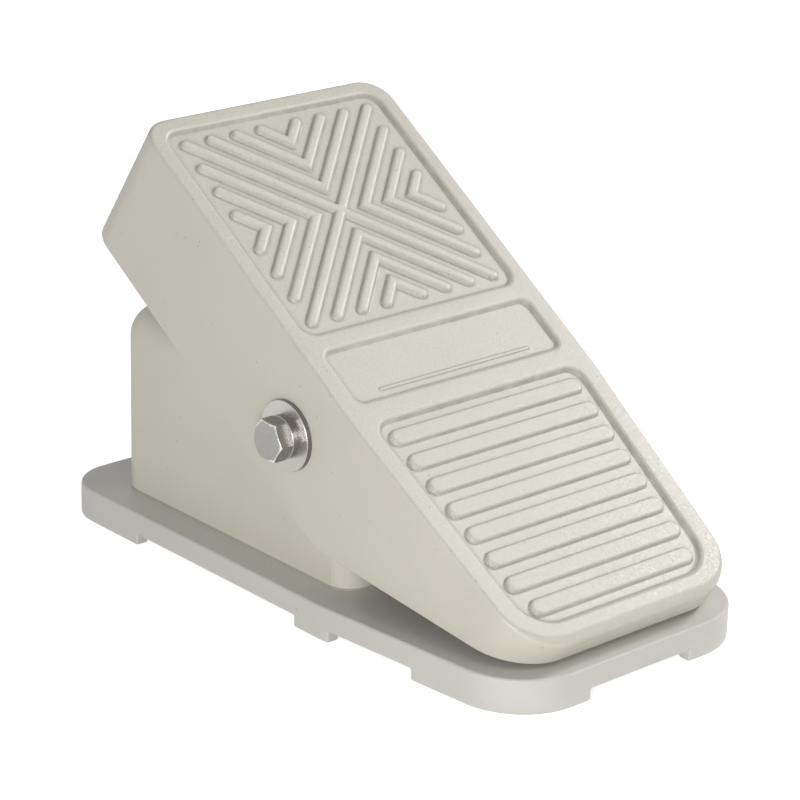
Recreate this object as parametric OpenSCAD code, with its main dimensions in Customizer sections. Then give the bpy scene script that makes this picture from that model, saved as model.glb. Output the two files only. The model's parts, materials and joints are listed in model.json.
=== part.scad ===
// Foot pedal that sets the speed of a machine.
// A cast treadle rocks on a shaft across a closed housing. A toothed sector on the shaft
// turns a potentiometer, a cam closes a switch, and a torsion spring lifts the toe again.
// X is across the pedal, +Y points to the toe end, Z = 0 is the floor under the base plate.

/* [Base plate] */
// Width of the toe half of the base plate
base_w = 120; // [112:1:150]
// Length of the base plate
base_l = 228; // [220:1:270]
// Width of the base plate at its heel end
base_heel_w = 106; // [96:1:112]
// Distance from mid length to where the heel taper starts
base_taper = 27; // [15:1:50]
// Height of the base plate's top above the floor
base_h = 12; // [11:0.5:16]
// Thickness of the plate between its rims
base_t = 5; // [4:0.5:6]
// Thickness of the rim that stands on the floor
rim_t = 5; // [4:0.5:7]
// Corner radius at the toe end
base_toe_r = 17; // [10:1:22]
// Corner radius at the heel end
base_heel_r = 25; // [15:1:32]
// Height of the notches between the feet
notch_h = 4; // [2:0.5:6]
// Length of the foot at each toe corner
toe_foot_l = 44; // [35:1:55]
// Length of the middle foot on each side
mid_foot_l = 17; // [10:1:25]
// Length of the foot at each heel corner
heel_foot_l = 46; // [36:1:56]
// Length of the shorter notch, nearer the heel
short_notch_l = 36.5; // [25:0.5:45]
// Width of the notch in each end
end_notch_w = 44; // [30:1:60]

/* [Treadle] */
// Slope of the treadle at rest, in degrees
tilt = 33.4; // [31:0.2:35]
// How far the treadle turns when it is pressed, in degrees
press = 25; // [15:1:27]
// Width of the treadle
treadle_w = 105.6; // [102:0.2:112]
// Width of the treadle at its heel end
treadle_heel_w = 94.6; // [88:0.2:100]
// Distance from the toe edge to where the treadle starts to taper
treadle_taper = 136; // [125:1:150]
// Depth of the side walls at the toe
toe_depth = 50; // [44:0.5:54]
// How far the foot of the toe wall is set back from its top
toe_lean = 0; // [0:0.2:12]
// Depth of the wall at the heel
heel_depth = 10.8; // [9:0.2:14]
// Distance from the toe edge to where the side walls start to rise to the heel
rise_start = 145.5; // [138:0.5:152]
// Thickness of the treadle's top
top_t = 5; // [4:0.5:6]
// Thickness of the treadle's walls
treadle_wall = 4; // [3.5:0.5:5]
// Corner radius at the toe
toe_r = 11; // [7:0.5:13]
// Corner radius at the heel
heel_r = 19; // [12:0.5:24]
// Radius of the edge where the top meets the toe and the heel
edge_r = 1.5; // [1:0.5:4]
// Radius of the lower corner of the side walls at the toe
foot_r = 5; // [4:0.5:12]
// Gap between the heel and the base plate
heel_clear = 1.2; // [0.8:0.1:3]

/* [Tread] */
// Width of the plain border round the tread
border = 7.6; // [6:0.2:10]
// Depth of the sunk panels
panel_sink = 1.5; // [1:0.1:2]
// Length of the panel with the crossed ribs
cross_panel_l = 88.5; // [76:0.5:96]
// Length of the plain panel
plain_panel_l = 22.5; // [16:0.5:28]
// Land between two panels
panel_land = 8; // [6:0.5:10]
// Corner radius of the panels
panel_r = 6; // [3:0.5:8]
// Corner radius of the bar panel at the heel
panel_heel_r = 13; // [8:0.5:16]
// Width of a crossed rib
rib_w = 4.2; // [3:0.2:5]
// Height of a crossed rib above its panel
rib_h = 1.4; // [0.8:0.1:1.5]
// Distance between crossed ribs, along the panel
rib_pitch = 10.7; // [9:0.1:13]
// Width of a bar
bar_w = 6.4; // [4:0.2:7]
// Height of a bar above its panel
bar_h = 1.4; // [0.8:0.1:1.6]
// Distance between bars
bar_pitch = 10.2; // [8.5:0.1:13]
// Gap between the end of a rib or bar and the edge of its panel
rib_end_gap = 3; // [2:0.5:5]

/* [Pivot] */
// Height of the pivot above the base plate
pivot_rise = 49.6; // [47:0.2:54]
// Distance of the pivot in front of mid length
pivot_back = 2.4; // [0:0.2:8]
// Distance of the pivot from the toe edge, along the treadle
pivot_u = 114.3; // [110:0.1:118]
// Depth of the pivot under the treadle's top
pivot_drop = 27.7; // [26:0.1:30]
// Diameter of the pivot shaft
shaft_d = 18; // [16:0.5:19]
// Wall of the shaft's bushes
bush_t = 2; // [1.5:0.5:3]
// Diameter of the bolts at the shaft's ends
bolt_d = 8; // [6:1:8]
// Length of a bolt under its head
bolt_l = 22; // [18:1:30]
// Width across the flats of a bolt's head
head_af = 13; // [10:0.5:13]
// Height of a bolt's head
head_h = 5.3; // [4:0.1:7]
// Diameter of the flat washer
washer_d = 24; // [18:0.5:26]
// Thickness of the flat washer
washer_t = 2; // [1.5:0.1:2.5]
// Diameter of the split spring washer
split_d = 14.8; // [13:0.1:16]
// Thickness of the split spring washer
split_t = 2; // [1.5:0.1:2.5]
// Diameter of the pins that key the treadle to the shaft
key_d = 3; // [2:0.5:3]
// Thickness of the shaft's seals
seal_t = 2.6; // [2:0.1:3]

/* [Housing] */
// Wall of the housing
housing_wall = 4.5; // [4:0.5:5]
// Corner radius of the housing
housing_r = 9; // [6:0.5:11]
// Distance from the pivot to the housing's heel face
front_reach = 24.2; // [23:0.2:26]
// Gap between the housing's sides and the treadle
side_clear = 1; // [0.8:0.1:2]
// Gap between the housing's toe face and the swinging toe wall
toe_clear = 14.75; // [2.5:0.25:18]
// Gap between the housing's top and the treadle when that is level
top_clear = 4.3; // [3.5:0.1:6]
// Gap between the housing's rounded heel edge and the treadle at rest
edge_clear = 1.7; // [1.2:0.1:2.5]
// Thickness of the gasket under the housing
gasket_t = 0.8; // [0.5:0.1:1.5]
// Diameter of the screws that hold the housing
housing_screw_d = 5; // [4:0.5:6]

/* [Buffers] */
// Diameter of the rubber buffers
buffer_d = 16; // [12:0.5:20]
// Height of the rubber buffers
buffer_h = 8; // [6:0.5:10]
// Distance of each buffer from the pedal's middle
buffer_x = 24; // [18:1:28]
// Distance from the pivot to the buffers on the housing
toe_buffer_reach = 62; // [52:1:70]
// Distance from the pivot to the buffers under the heel
heel_buffer_reach = 86; // [78:1:90]
// Gap between a buffer and the treadle's stop
stop_gap = 0.3; // [0.2:0.1:0.5]

/* [Gears] */
// Module of the teeth
gear_module = 1; // [0.8:0.1:1]
// Teeth on the whole circle of the sector
sector_teeth = 84; // [78:6:84]
// Teeth on the pinion
pinion_teeth = 12; // [12:1:14]
// Pressure angle, in degrees
pressure_angle = 25; // [22:1:27]
// Play between the teeth at the pitch circle
backlash = 0.3; // [0.2:0.05:0.4]
// Direction from the pivot to the potentiometer, in degrees
gear_dir = -20; // [-24:1:-16]
// Thickness of the sector
sector_t = 6; // [4:0.5:8]
// Diameter of the sector's hub
hub_d = 26; // [24:0.5:27]
// Length of the sector's hub
hub_l = 20; // [14:1:20]

/* [Potentiometer] */
// Diameter of the potentiometer's case
pot_d = 24; // [18:0.5:28]
// Depth of the case
pot_l = 14; // [10:0.5:18]
// Diameter of the threaded neck
neck_d = 9; // [8:0.5:10]
// Diameter of the spindle
spindle_d = 6; // [4:0.5:6]
// Thickness of the sheet brackets
sheet_t = 2; // [1.5:0.25:2.5]

/* [Switch] */
// Length of the switch
switch_l = 27.8; // [24:0.2:30]
// Height of the switch
switch_h = 15.9; // [13:0.1:17]
// Thickness of the switch
switch_t = 10.3; // [8:0.1:11]
// Diameter of its plunger
plunger_d = 3; // [2:0.5:4]
// How far the cam moves the plunger
plunger_travel = 1.2; // [0.6:0.1:1.4]
// Radius of the cam where it first meets the plunger
cam_r = 15.5; // [14.5:0.1:16.5]

/* [Spring] */
// Diameter of the return spring's wire
wire_d = 2.2; // [1.8:0.1:2.4]
// Mean radius of the coil
coil_r = 11.6; // [11.2:0.1:11.8]
// Whole turns in the coil
coil_turns = 5; // [4:1:6]
// Length of the legs
leg_l = 32; // [28:1:36]

/* [Cable gland] */
// Diameter of the gland's thread
gland_d = 15.2; // [12.5:0.1:16]
// Diameter of the cable that it takes
cable_d = 8; // [5:0.5:9]
// Width across the flats of its hexagons
gland_af = 22; // [19:0.5:24]
// Height of the gland above the base plate
gland_rise = 21; // [18:0.5:24]

/* [Clearances] */
// Radial play of a turning shaft
run_clear = 0.05; // [0.03:0.01:0.1]
// Radial play of a part that is fixed in a hole
fit_clear = 0.05; // [0.02:0.01:0.1]
// Gap between parts that pass close by each other
pass_clear = 0.3; // [0.2:0.05:0.5]

/* [Hidden] */
$fn = 64;
// Straight pieces in each rounded corner of an outline
arc_steps = 10;
// A cut runs this far past the face that it opens
past = 1;

// Screws: head sizes as shares of the thread's diameter, and the room round them
pan_head_d = 1.75;
pan_head_h = 0.65;
slot_w = 0.24;
slot_floor = 0.35;
cap_head_d = 1.7;
cap_socket_r = 0.45;
grub_socket_r = 0.28;
socket_depth = 0.5;
hex_top = 0.95;
screw_play = 0.5;
screw_spare = 2;
bolt_play = 0.2;
grub_sink = 0.3;

// Pivot and treadle
pivot_y = -pivot_back;
pivot_z = base_h + pivot_rise;
under_drop = pivot_drop - top_t;
treadle_l = pivot_u
    + (pivot_rise - heel_clear + (pivot_drop - heel_depth) * cos(tilt)) / sin(tilt);
lean_angle = atan(toe_lean / toe_depth);
toe_skin = treadle_wall / cos(lean_angle);
inner_x = treadle_w / 2 - treadle_wall;
toe_swing = norm([pivot_u - toe_lean - toe_skin, pivot_drop - toe_depth]);

// Housing
housing_x = inner_x - side_clear;
housing_y0 = pivot_y - front_reach;
housing_y1 = pivot_y + toe_swing - toe_clear;
housing_z0 = base_h + gasket_t;
housing_z1 = pivot_z + under_drop - top_clear;
housing_front_r = (edge_clear - under_drop + front_reach * sin(tilt)
    + (housing_z1 - pivot_z) * cos(tilt)) / (sin(tilt) + cos(tilt) - 1);
shell_in = housing_x - housing_wall;
bush_r = shaft_d / 2 + bush_t;
bush_flange_t = 2;
bush_flange_lip = 2.5;
bush_flange_r = bush_r + bush_flange_lip;
boss_wall = 4;
boss_r = bush_r + boss_wall;
boss_depth = 6;
boss_in = shell_in - boss_depth;
seal_lip = 1;
seal_r = bush_r + seal_lip;
seal_play = 0.2;
seal_depth = seal_t + seal_play;
post_wall = 3.5;
post_overlap = 1.5;
post_r = housing_screw_d / 2 + post_wall;
post_inset = housing_wall + post_r - post_overlap;
post_h = 28;
screw_grip = 16;
post_x = housing_x - post_inset;
post_y = [housing_y0 + post_inset, housing_y1 - post_inset];

// Buffers
small_screw_d = 4;
buffer_hole_d = 8;
pad_inset = 1;
pad_r = buffer_d / 2 - pad_inset;
toe_buffer_y = pivot_y + toe_buffer_reach;
heel_buffer_y = pivot_y - heel_buffer_reach;
buffer_seat = 3;
buffer_boss_h = 8;
buffer_boss_wall = 3;

// Gears
sector_pitch_r = gear_module * sector_teeth / 2;
pinion_pitch_r = gear_module * pinion_teeth / 2;
gear_centres = sector_pitch_r + pinion_pitch_r;
addendum = 0.9 * gear_module;
dedendum = 1.2 * gear_module;
root_sink = 0.3;
flank_steps = 5;
tooth_step = 360 / sector_teeth;
spare_teeth = 2;
sector_edge = 0.8;
sector_first = -spare_teeth;
sector_last = ceil(press / tooth_step) + spare_teeth;
grub_d = 4;
small_grub_d = 3;
hub_r = hub_d / 2;
sector_grub_x = hub_l / 2 - 3.5;

// Potentiometer, along X from the sector
pinion_lip = 1;
pinion_hub_l = 5;
pinion_hub_step = 0.4;
pinion_x1 = sector_t / 2 + pinion_lip;
pinion_hub_x1 = pinion_x1 + pinion_hub_l;
pinion_hub_r = pinion_pitch_r + addendum - pinion_hub_step;
pinion_grub_x = pinion_hub_x1 - pinion_hub_l / 2;
neck_x0 = pinion_hub_x1 + 2 * pass_clear;
neck_proud = 0.4;
nut_x0 = neck_x0 + neck_proud;
nut_t = 2.4;
nut_wall = 2.2;
pot_washer_t = 0.8;
pot_washer_lip = 2.5;
plate_x0 = nut_x0 + nut_t + pot_washer_t;
pot_x0 = plate_x0 + sheet_t;
pot_y = pivot_y + gear_centres * cos(gear_dir);
pot_z = pivot_z + gear_centres * sin(gear_dir);
pot_plate_lip = 3;
pot_plate_w = pot_d + 2 * pot_plate_lip;
bracket_foot_l = 22;
bracket_screw_x = pot_x0 + bracket_foot_l - 7;
bracket_screw_span = 18;
pot_tag = [0.8, 6, 2];
pot_tag_pitch = 4;

// Switch and cam
cam_t = 5;
cam_collar_l = 8;
cam_collar_wall = 3;
cam_collar_r = shaft_d / 2 + cam_collar_wall;
cam_dir = -90;
cam_steps = 10;
cam_lead = 3;
cam_over = 2;
cam_tail = 3;
cam_gap = 9;
switch_x = hub_l / 2 + cam_gap;
cam_grub_x = switch_x + cam_collar_l - 2.6;
plunger_proud = 1.8;
plunger_guide = 3;
switch_z1 = pivot_z - cam_r - pass_clear - plunger_proud;
switch_z0 = switch_z1 - switch_h;
switch_y0 = pivot_y - switch_l / 3;
switch_x1 = switch_x + switch_t / 2;
switch_hole_d = 3;
switch_hole_span = 0.8 * switch_l;
switch_hole_rise = 3.2;
switch_foot_l = 14;
switch_foot_w = 22;
switch_foot_y = pivot_y - 5;
switch_screw_x = switch_x1 + switch_foot_l - 5;
switch_screw_span = 14;
switch_plate_drop = 2;
switch_tag = [0.8, 4, 7];
switch_tag_x = -2.4;

// Spring
coil_gap = 0.5;
coil_pitch = wire_d + coil_gap;
coil_clear = 1.2;
coil_x1 = -hub_l / 2 - wire_d / 2 - coil_clear;
coil_sweep = 360 * coil_turns + 270;
coil_x0 = coil_x1 - coil_pitch * coil_sweep / 360;
wire_sides = 8;
coil_step = 15;
lug_w = 8;
lug_t = 7;
lug_overlap = 10;
spring_pin_r = 2;
spring_pin_reach = 26;
spring_pin_dir = -asin((coil_r - wire_d / 2 - spring_pin_r - fit_clear) / spring_pin_reach);

// Circlips sit against the flanges of the bushes
circlip_t = 1.5;
circlip_x = boss_in - bush_flange_t - pass_clear - circlip_t;
circlip_lip = 2.5;
circlip_gap = 4;
groove_depth = 0.8;
circlip_r = shaft_d / 2 + circlip_lip;
groove_r = shaft_d / 2 - groove_depth;

// Cable gland, along Y from the housing's toe face
gland_z = base_h + gland_rise;
gland_flange_t = 5;
gland_neck_l = 9;
gland_nut_l = 13;
gland_nut_gap = 0.4;
gland_inside_l = 8;
gland_locknut_t = 4;
gland_pad_t = 1.5;
gland_pad_lip = 1.5;
gland_pad_r = gland_af / 2 / cos(30) + gland_pad_lip;
gland_seal_t = 2.3;
gland_bore_r = cable_d / 2 + gland_seal_t;
gland_neck_step = 0.2;
gland_neck_r = gland_d / 2 - gland_neck_step;
gland_nut_step = 0.8;
gland_dome_r = gland_af / 2 - gland_nut_step;
gland_mouth_r = gland_dome_r - 2.7;
gland_hex_l = 0.6 * gland_nut_l;
gland_dome_l = 0.8 * gland_nut_l;
cable_play = 1.7;

// Terminal block
block_size = [37, 16, 14];
block_x = -20;
block_y = housing_y1 - 33;
block_ways = 3;
block_pitch = 9;
block_screw_d = 3;
block_screw_inset = 3;
block_screw_rise = 6;
block_screw_hole_d = 5.8;
clamp_rise = 5;
clamp_r = 3;
clamp_l = 13;
clamp_bore_r = 1.6;
clamp_screw_d = 4;
clamp_screw_l = 4.5;
clamp_screw_hole_d = 4.6;
clamp_screw_span = 9;
clamp_screw_rise = 8;

// Pivot fasteners
key_wall = 0.4;
key_reach = (bolt_d + shaft_d) / 4 + key_wall;
key_in = 5;
key_sink = 0.2;
head_x = treadle_w / 2 + washer_t + split_t;
head_turn = 33;
split_slit = 1;
split_slope = 20;

// Paint, metal and rubber colours
paint = "#cfccbf";
steel = "#b9bbbd";
zinc = "#a9acad";
brass = "#b99a55";
rubber = "#2b2b2b";
gasket_grey = "#82807a";
nylon = "#3a3d40";
phenolic = "#5b3a24";
pale = "#e0dccf";

// Geometry of rounded outlines
function unit(v) = v / norm(v);
function turned(v, a) = [v.x * cos(a) - v.y * sin(a), v.x * sin(a) + v.y * cos(a)];
function side_of(a, b, c) = sign(cross(b - a, c - b));
function corner_arc(a, b, c, r) =
    r <= 0 ? [b] :
    let (
        half = acos(unit(a - b) * unit(c - b)) / 2,
        centre = b + unit(unit(a - b) + unit(c - b)) * r / sin(half),
        start = b + unit(a - b) * r / tan(half) - centre,
        turn = side_of(a, b, c) * (180 - 2 * half)
    )
    [for (i = [0 : arc_steps]) centre + turned(start, turn * i / arc_steps)];
function rounded(pts, radii) =
    let (n = len(pts))
    [for (i = [0 : n - 1])
        each corner_arc(pts[(i + n - 1) % n], pts[i], pts[(i + 1) % n], radii[i])];

// An outline in Y and Z, stretched along X
module along_x(w) rotate([90, 0, 90]) linear_extrude(w, center = true) children();
// A round bar along X, from one X to another
module x_bar(r, x0, x1) translate([x0, 0, 0]) rotate([0, 90, 0]) cylinder(r = r, h = x1 - x0);
// A round bar along Y, from one Y to another
module y_bar(r, y0, y1) translate([0, y0, 0]) rotate([-90, 0, 0]) cylinder(r = r, h = y1 - y0);
// Both sides of the pedal, left and right
module both_sides() for (m = [0, 1]) mirror([m, 0, 0]) children();
module at_pivot() translate([0, pivot_y, pivot_z]) children();
// The treadle's own frame: Y = 0 at the toe edge, Z = 0 on its top
module on_treadle() at_pivot() rotate([tilt, 0, 0]) translate([0, pivot_u, pivot_drop]) children();
module at_pot() translate([0, pot_y, pot_z]) children();
module at_gland() translate([0, housing_y1, gland_z]) children();

// A hexagon nut or head along +Z, with its corners chamfered at the far end
module hex_head(af, h) intersection() {
    cylinder(r = af / 2 / cos(30), h = h, $fn = 6);
    cylinder(r1 = af / 2 + h * tan(60), r2 = af / 2 * hex_top, h = h);
}
// A pan head screw pointing down, with its seat at Z = 0
module pan_screw(d, l) {
    difference() {
        cylinder(d = d * pan_head_d, h = d * pan_head_h);
        translate([-d, -d * slot_w / 2, d * slot_floor]) cube([2 * d, d * slot_w, d]);
    }
    translate([0, 0, -l]) cylinder(r = d / 2 - fit_clear, h = l + past / 2);
}
// A socket head screw pointing up, with its seat at Z = 0
module cap_screw(d, l) {
    difference() {
        translate([0, 0, -d]) cylinder(d = d * cap_head_d, h = d);
        translate([0, 0, -d - past]) cylinder(r = d * cap_socket_r, h = d * socket_depth + past, $fn = 6);
    }
    translate([0, 0, -past / 2]) cylinder(r = d / 2 - fit_clear, h = l + past / 2);
}
// A grub screw along +Z whose tip is at Z = 0
module grub(d, l) difference() {
    cylinder(r = d / 2 - fit_clear, h = l);
    translate([0, 0, l - d * socket_depth]) cylinder(r = d * grub_socket_r, h = d, $fn = 6);
}

// Base plate
function base_outline(inset) =
    let (
        w = base_w / 2 - inset,
        hw = base_heel_w / 2 - inset,
        y = base_l / 2 - inset,
        tr = base_toe_r - inset,
        hr = base_heel_r - inset
    )
    rounded(
        [[-w, y], [w, y], [w, -base_taper], [hw, -y], [-hw, -y], [-w, -base_taper]],
        [tr, tr, 0, hr, hr, 0]
    );
module base_notches() translate([0, 0, -past]) linear_extrude(notch_h + past) {
    half = base_l / 2;
    short_y = -half + heel_foot_l;
    long_y = short_y + short_notch_l + mid_foot_l;
    translate([-base_w, long_y]) square([2 * base_w, half - toe_foot_l - long_y]);
    translate([-base_w, short_y]) square([2 * base_w, short_notch_l]);
    translate([-end_notch_w / 2, -base_l]) square([end_notch_w, 2 * base_l]);
}
module base_plate() color(paint) {
    difference() {
        union() {
            difference() {
                linear_extrude(base_h) polygon(base_outline(0));
                translate([0, 0, -past])
                    linear_extrude(base_h - base_t + past) polygon(base_outline(rim_t));
                base_notches();
            }
            spring_lug();
        }
        for (x = [-post_x, post_x], y = post_y)
            translate([x, y, 0]) cylinder(d = housing_screw_d + screw_play, h = base_h + past);
        for (p = small_screw_places())
            translate([p.x, p.y, 0]) cylinder(d = small_screw_d, h = base_h + past);
        for (p = block_screw_places())
            translate([p.x, p.y, 0]) cylinder(d = block_screw_d, h = base_h + past);
    }
}
// The lug on the plate that the spring's fixed leg pushes against
module spring_lug() translate([
    coil_x0 - lug_w / 2, pivot_y + coil_r - wire_d / 2 - fit_clear - lug_t, base_h - base_t / 2
]) cube([lug_w, lug_t, base_t / 2 + pivot_rise - leg_l + lug_overlap]);
function pot_screw_places() = [for (m = [-0.5, 0.5]) [bracket_screw_x, pot_y + m * bracket_screw_span]];
function switch_screw_places() = [for (m = [-0.5, 0.5])
    [switch_screw_x, switch_foot_y + switch_foot_w / 2 + m * switch_screw_span]];
function block_screw_places() = [for (m = [-1, 1])
    [block_x + m * (block_size.x / 2 - block_screw_inset), block_y]];
function small_screw_places() = concat(
    [for (m = [-1, 1]) [m * buffer_x, heel_buffer_y]], pot_screw_places(), switch_screw_places()
);

// Housing
module housing_form(inset) intersection() {
    x = housing_x - inset;
    y0 = housing_y0 + inset;
    y1 = housing_y1 - inset;
    z1 = housing_z1 - inset;
    r = housing_r - inset;
    fr = housing_front_r - inset;
    z0 = housing_z0 - (inset > 0 ? past : 0);
    translate([0, 0, z0]) linear_extrude(z1 - z0)
        polygon(rounded([[-x, y0], [x, y0], [x, y1], [-x, y1]], [r, r, r, r]));
    along_x(2 * housing_x)
        polygon(rounded([[y0, z0], [y1, z0], [y1, z1], [y0, z1]], [0, 0, r, fr]));
    rotate([90, 0, 0]) linear_extrude(4 * base_l, center = true)
        polygon(rounded([[-x, z0], [x, z0], [x, z1], [-x, z1]], [0, 0, r, r]));
}
module housing_inside() {
    at_pivot() both_sides() x_bar(boss_r, boss_in, housing_x - seal_depth);
    for (x = [-post_x, post_x], y = post_y)
        translate([x, y, housing_z0]) cylinder(r = post_r, h = post_h);
    both_sides() translate([buffer_x, toe_buffer_y, housing_z1 - housing_wall - buffer_boss_h])
        cylinder(r = small_screw_d / 2 + buffer_boss_wall, h = buffer_boss_h + past);
    at_gland() y_bar(gland_pad_r, -housing_wall - gland_pad_t, -past);
}
module housing() color(paint) difference() {
    union() {
        difference() {
            housing_form(0);
            housing_form(housing_wall);
        }
        intersection() {
            housing_form(0);
            housing_inside();
        }
    }
    at_pivot() x_bar(bush_r + fit_clear, -base_w, base_w);
    at_pivot() both_sides() x_bar(seal_r + fit_clear, housing_x - seal_depth, base_w);
    at_gland() y_bar(gland_d / 2 + fit_clear, -housing_wall - 2 * gland_pad_t, past);
    for (x = [-post_x, post_x], y = post_y)
        translate([x, y, housing_z0 - past]) cylinder(d = housing_screw_d, h = screw_grip + past);
    both_sides() translate([buffer_x, toe_buffer_y, housing_z1 - housing_wall - buffer_boss_h / 2])
        cylinder(d = small_screw_d, h = housing_wall + buffer_boss_h);
}
module housing_gasket() color(gasket_grey) translate([0, 0, base_h]) difference() {
    y0 = housing_y0;
    y1 = housing_y1;
    wall = housing_wall;
    linear_extrude(gasket_t) difference() {
        polygon(rounded(
            [[-housing_x, y0], [housing_x, y0], [housing_x, y1], [-housing_x, y1]],
            [housing_r, housing_r, housing_r, housing_r]
        ));
        polygon(rounded(
            [[-shell_in, y0 + wall], [shell_in, y0 + wall], [shell_in, y1 - wall], [-shell_in, y1 - wall]],
            [housing_r - wall, housing_r - wall, housing_r - wall, housing_r - wall]
        ));
    }
}
module housing_screws() color(zinc) for (x = [-post_x, post_x], y = post_y)
    translate([x, y, base_h - base_t])
        cap_screw(housing_screw_d, base_t + gasket_t + screw_grip - screw_spare);

// Shaft bearings
module shaft_bush() at_pivot() difference() {
    union() {
        x_bar(bush_r, boss_in - bush_flange_t, housing_x - seal_depth);
        x_bar(bush_flange_r, boss_in - bush_flange_t, boss_in);
    }
    x_bar(shaft_d / 2 + run_clear, 0, base_w);
}
module shaft_bush_left() color(brass) mirror([1, 0, 0]) shaft_bush();
module shaft_bush_right() color(brass) shaft_bush();
module shaft_seal() at_pivot() difference() {
    x_bar(seal_r, housing_x - seal_t, housing_x);
    x_bar(shaft_d / 2 + run_clear, 0, base_w);
}
module shaft_seal_left() color(rubber) mirror([1, 0, 0]) shaft_seal();
module shaft_seal_right() color(rubber) shaft_seal();

// Rubber buffers, each with a screw sunk in its top
module buffer() difference() {
    cylinder(d = buffer_d, h = buffer_h);
    translate([0, 0, buffer_seat]) cylinder(d = buffer_hole_d, h = buffer_h);
    translate([0, 0, -past]) cylinder(d = small_screw_d, h = buffer_h);
}
module toe_buffers() color(rubber) both_sides()
    translate([buffer_x, toe_buffer_y, housing_z1]) buffer();
module heel_buffers() color(rubber) both_sides()
    translate([buffer_x, heel_buffer_y, base_h]) buffer();
module toe_buffer_screws() color(zinc) both_sides()
    translate([buffer_x, toe_buffer_y, housing_z1 + buffer_seat])
        pan_screw(small_screw_d, buffer_seat + housing_wall + buffer_boss_h / 2 - screw_spare);
module heel_buffer_screws() color(zinc) both_sides()
    translate([buffer_x, heel_buffer_y, base_h + buffer_seat])
        pan_screw(small_screw_d, buffer_seat + base_t);

// Cable gland on the housing's toe face
module gland_body() color(nylon) at_gland() difference() {
    union() {
        rotate([-90, 0, 0]) hex_head(gland_af, gland_flange_t);
        y_bar(gland_neck_r, 0, gland_flange_t + gland_neck_l);
        y_bar(gland_d / 2, -housing_wall - gland_pad_t - gland_inside_l, past);
    }
    y_bar(gland_bore_r, -base_l, base_l);
}
module gland_nut() color(nylon) at_gland() translate([0, gland_flange_t + gland_nut_gap, 0]) difference() {
    union() {
        rotate([-90, 0, 0]) cylinder(r = gland_dome_r / cos(30), h = gland_hex_l, $fn = 6);
        y_bar(gland_dome_r, 0, gland_dome_l);
        translate([0, gland_dome_l, 0]) rotate([-90, 0, 0])
            cylinder(r1 = gland_dome_r, r2 = gland_mouth_r, h = gland_nut_l - gland_dome_l);
    }
    y_bar(gland_neck_r + fit_clear, -past, gland_neck_l - gland_nut_gap);
    y_bar(cable_d / 2 + cable_play, 0, 2 * gland_nut_l);
}
module gland_seal() color(rubber) at_gland() difference() {
    y_bar(gland_bore_r - fit_clear, gland_flange_t, gland_flange_t + gland_neck_l);
    y_bar(cable_d / 2, 0, base_l);
}
module gland_locknut() color(nylon) at_gland() translate([0, -housing_wall - gland_pad_t, 0]) difference() {
    rotate([90, 0, 0]) hex_head(gland_af, gland_locknut_t);
    y_bar(gland_d / 2 + fit_clear, -base_l, base_l);
}

// Potentiometer on its sheet bracket
module pot_bracket() color(steel) difference() {
    union() {
        translate([plate_x0, pot_y - pot_plate_w / 2, base_h])
            cube([sheet_t, pot_plate_w, pot_z - base_h]);
        at_pot() x_bar(pot_plate_w / 2, plate_x0, plate_x0 + sheet_t);
        translate([plate_x0, pot_y - pot_plate_w / 2, base_h])
            cube([sheet_t + bracket_foot_l, pot_plate_w, sheet_t]);
    }
    at_pot() x_bar(neck_d / 2 + fit_clear, 0, base_w);
    for (p = pot_screw_places()) translate([p.x, p.y, 0])
        cylinder(d = small_screw_d + screw_play, h = base_l);
}
module pot_bracket_screws() color(zinc) for (p = pot_screw_places())
    translate([p.x, p.y, base_h + sheet_t]) pan_screw(small_screw_d, sheet_t + base_t);
module pot_case() color(steel) at_pot() difference() {
    union() {
        x_bar(pot_d / 2, pot_x0, pot_x0 + pot_l);
        x_bar(neck_d / 2, neck_x0, pot_x0 + past);
    }
    x_bar(spindle_d / 2 + run_clear, 0, pot_x0 + pot_l / 2);
}
module pot_tags() color(brass) at_pot() difference() {
    for (m = [-1, 0, 1]) translate([pot_x0 + pot_l / 3, 0, m * pot_tag_pitch - pot_tag.z / 2])
        cube([pot_tag.x, pot_d / 2 + pot_tag.y, pot_tag.z]);
    x_bar(pot_d / 2 + fit_clear, 0, base_w);
}
module pot_washer() color(zinc) at_pot() difference() {
    x_bar(neck_d / 2 + pot_washer_lip, plate_x0 - pot_washer_t, plate_x0);
    x_bar(neck_d / 2 + fit_clear, 0, base_w);
}
module pot_nut() color(zinc) at_pot() difference() {
    translate([nut_x0, 0, 0]) rotate([0, 90, 0]) cylinder(r = neck_d / 2 + nut_wall, h = nut_t, $fn = 6);
    x_bar(neck_d / 2 + fit_clear, 0, base_w);
}
module pot_spindle() color(steel) at_pot()
    x_bar(spindle_d / 2, -pinion_x1, pot_x0 + pot_l / 2 - pass_clear);

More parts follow.
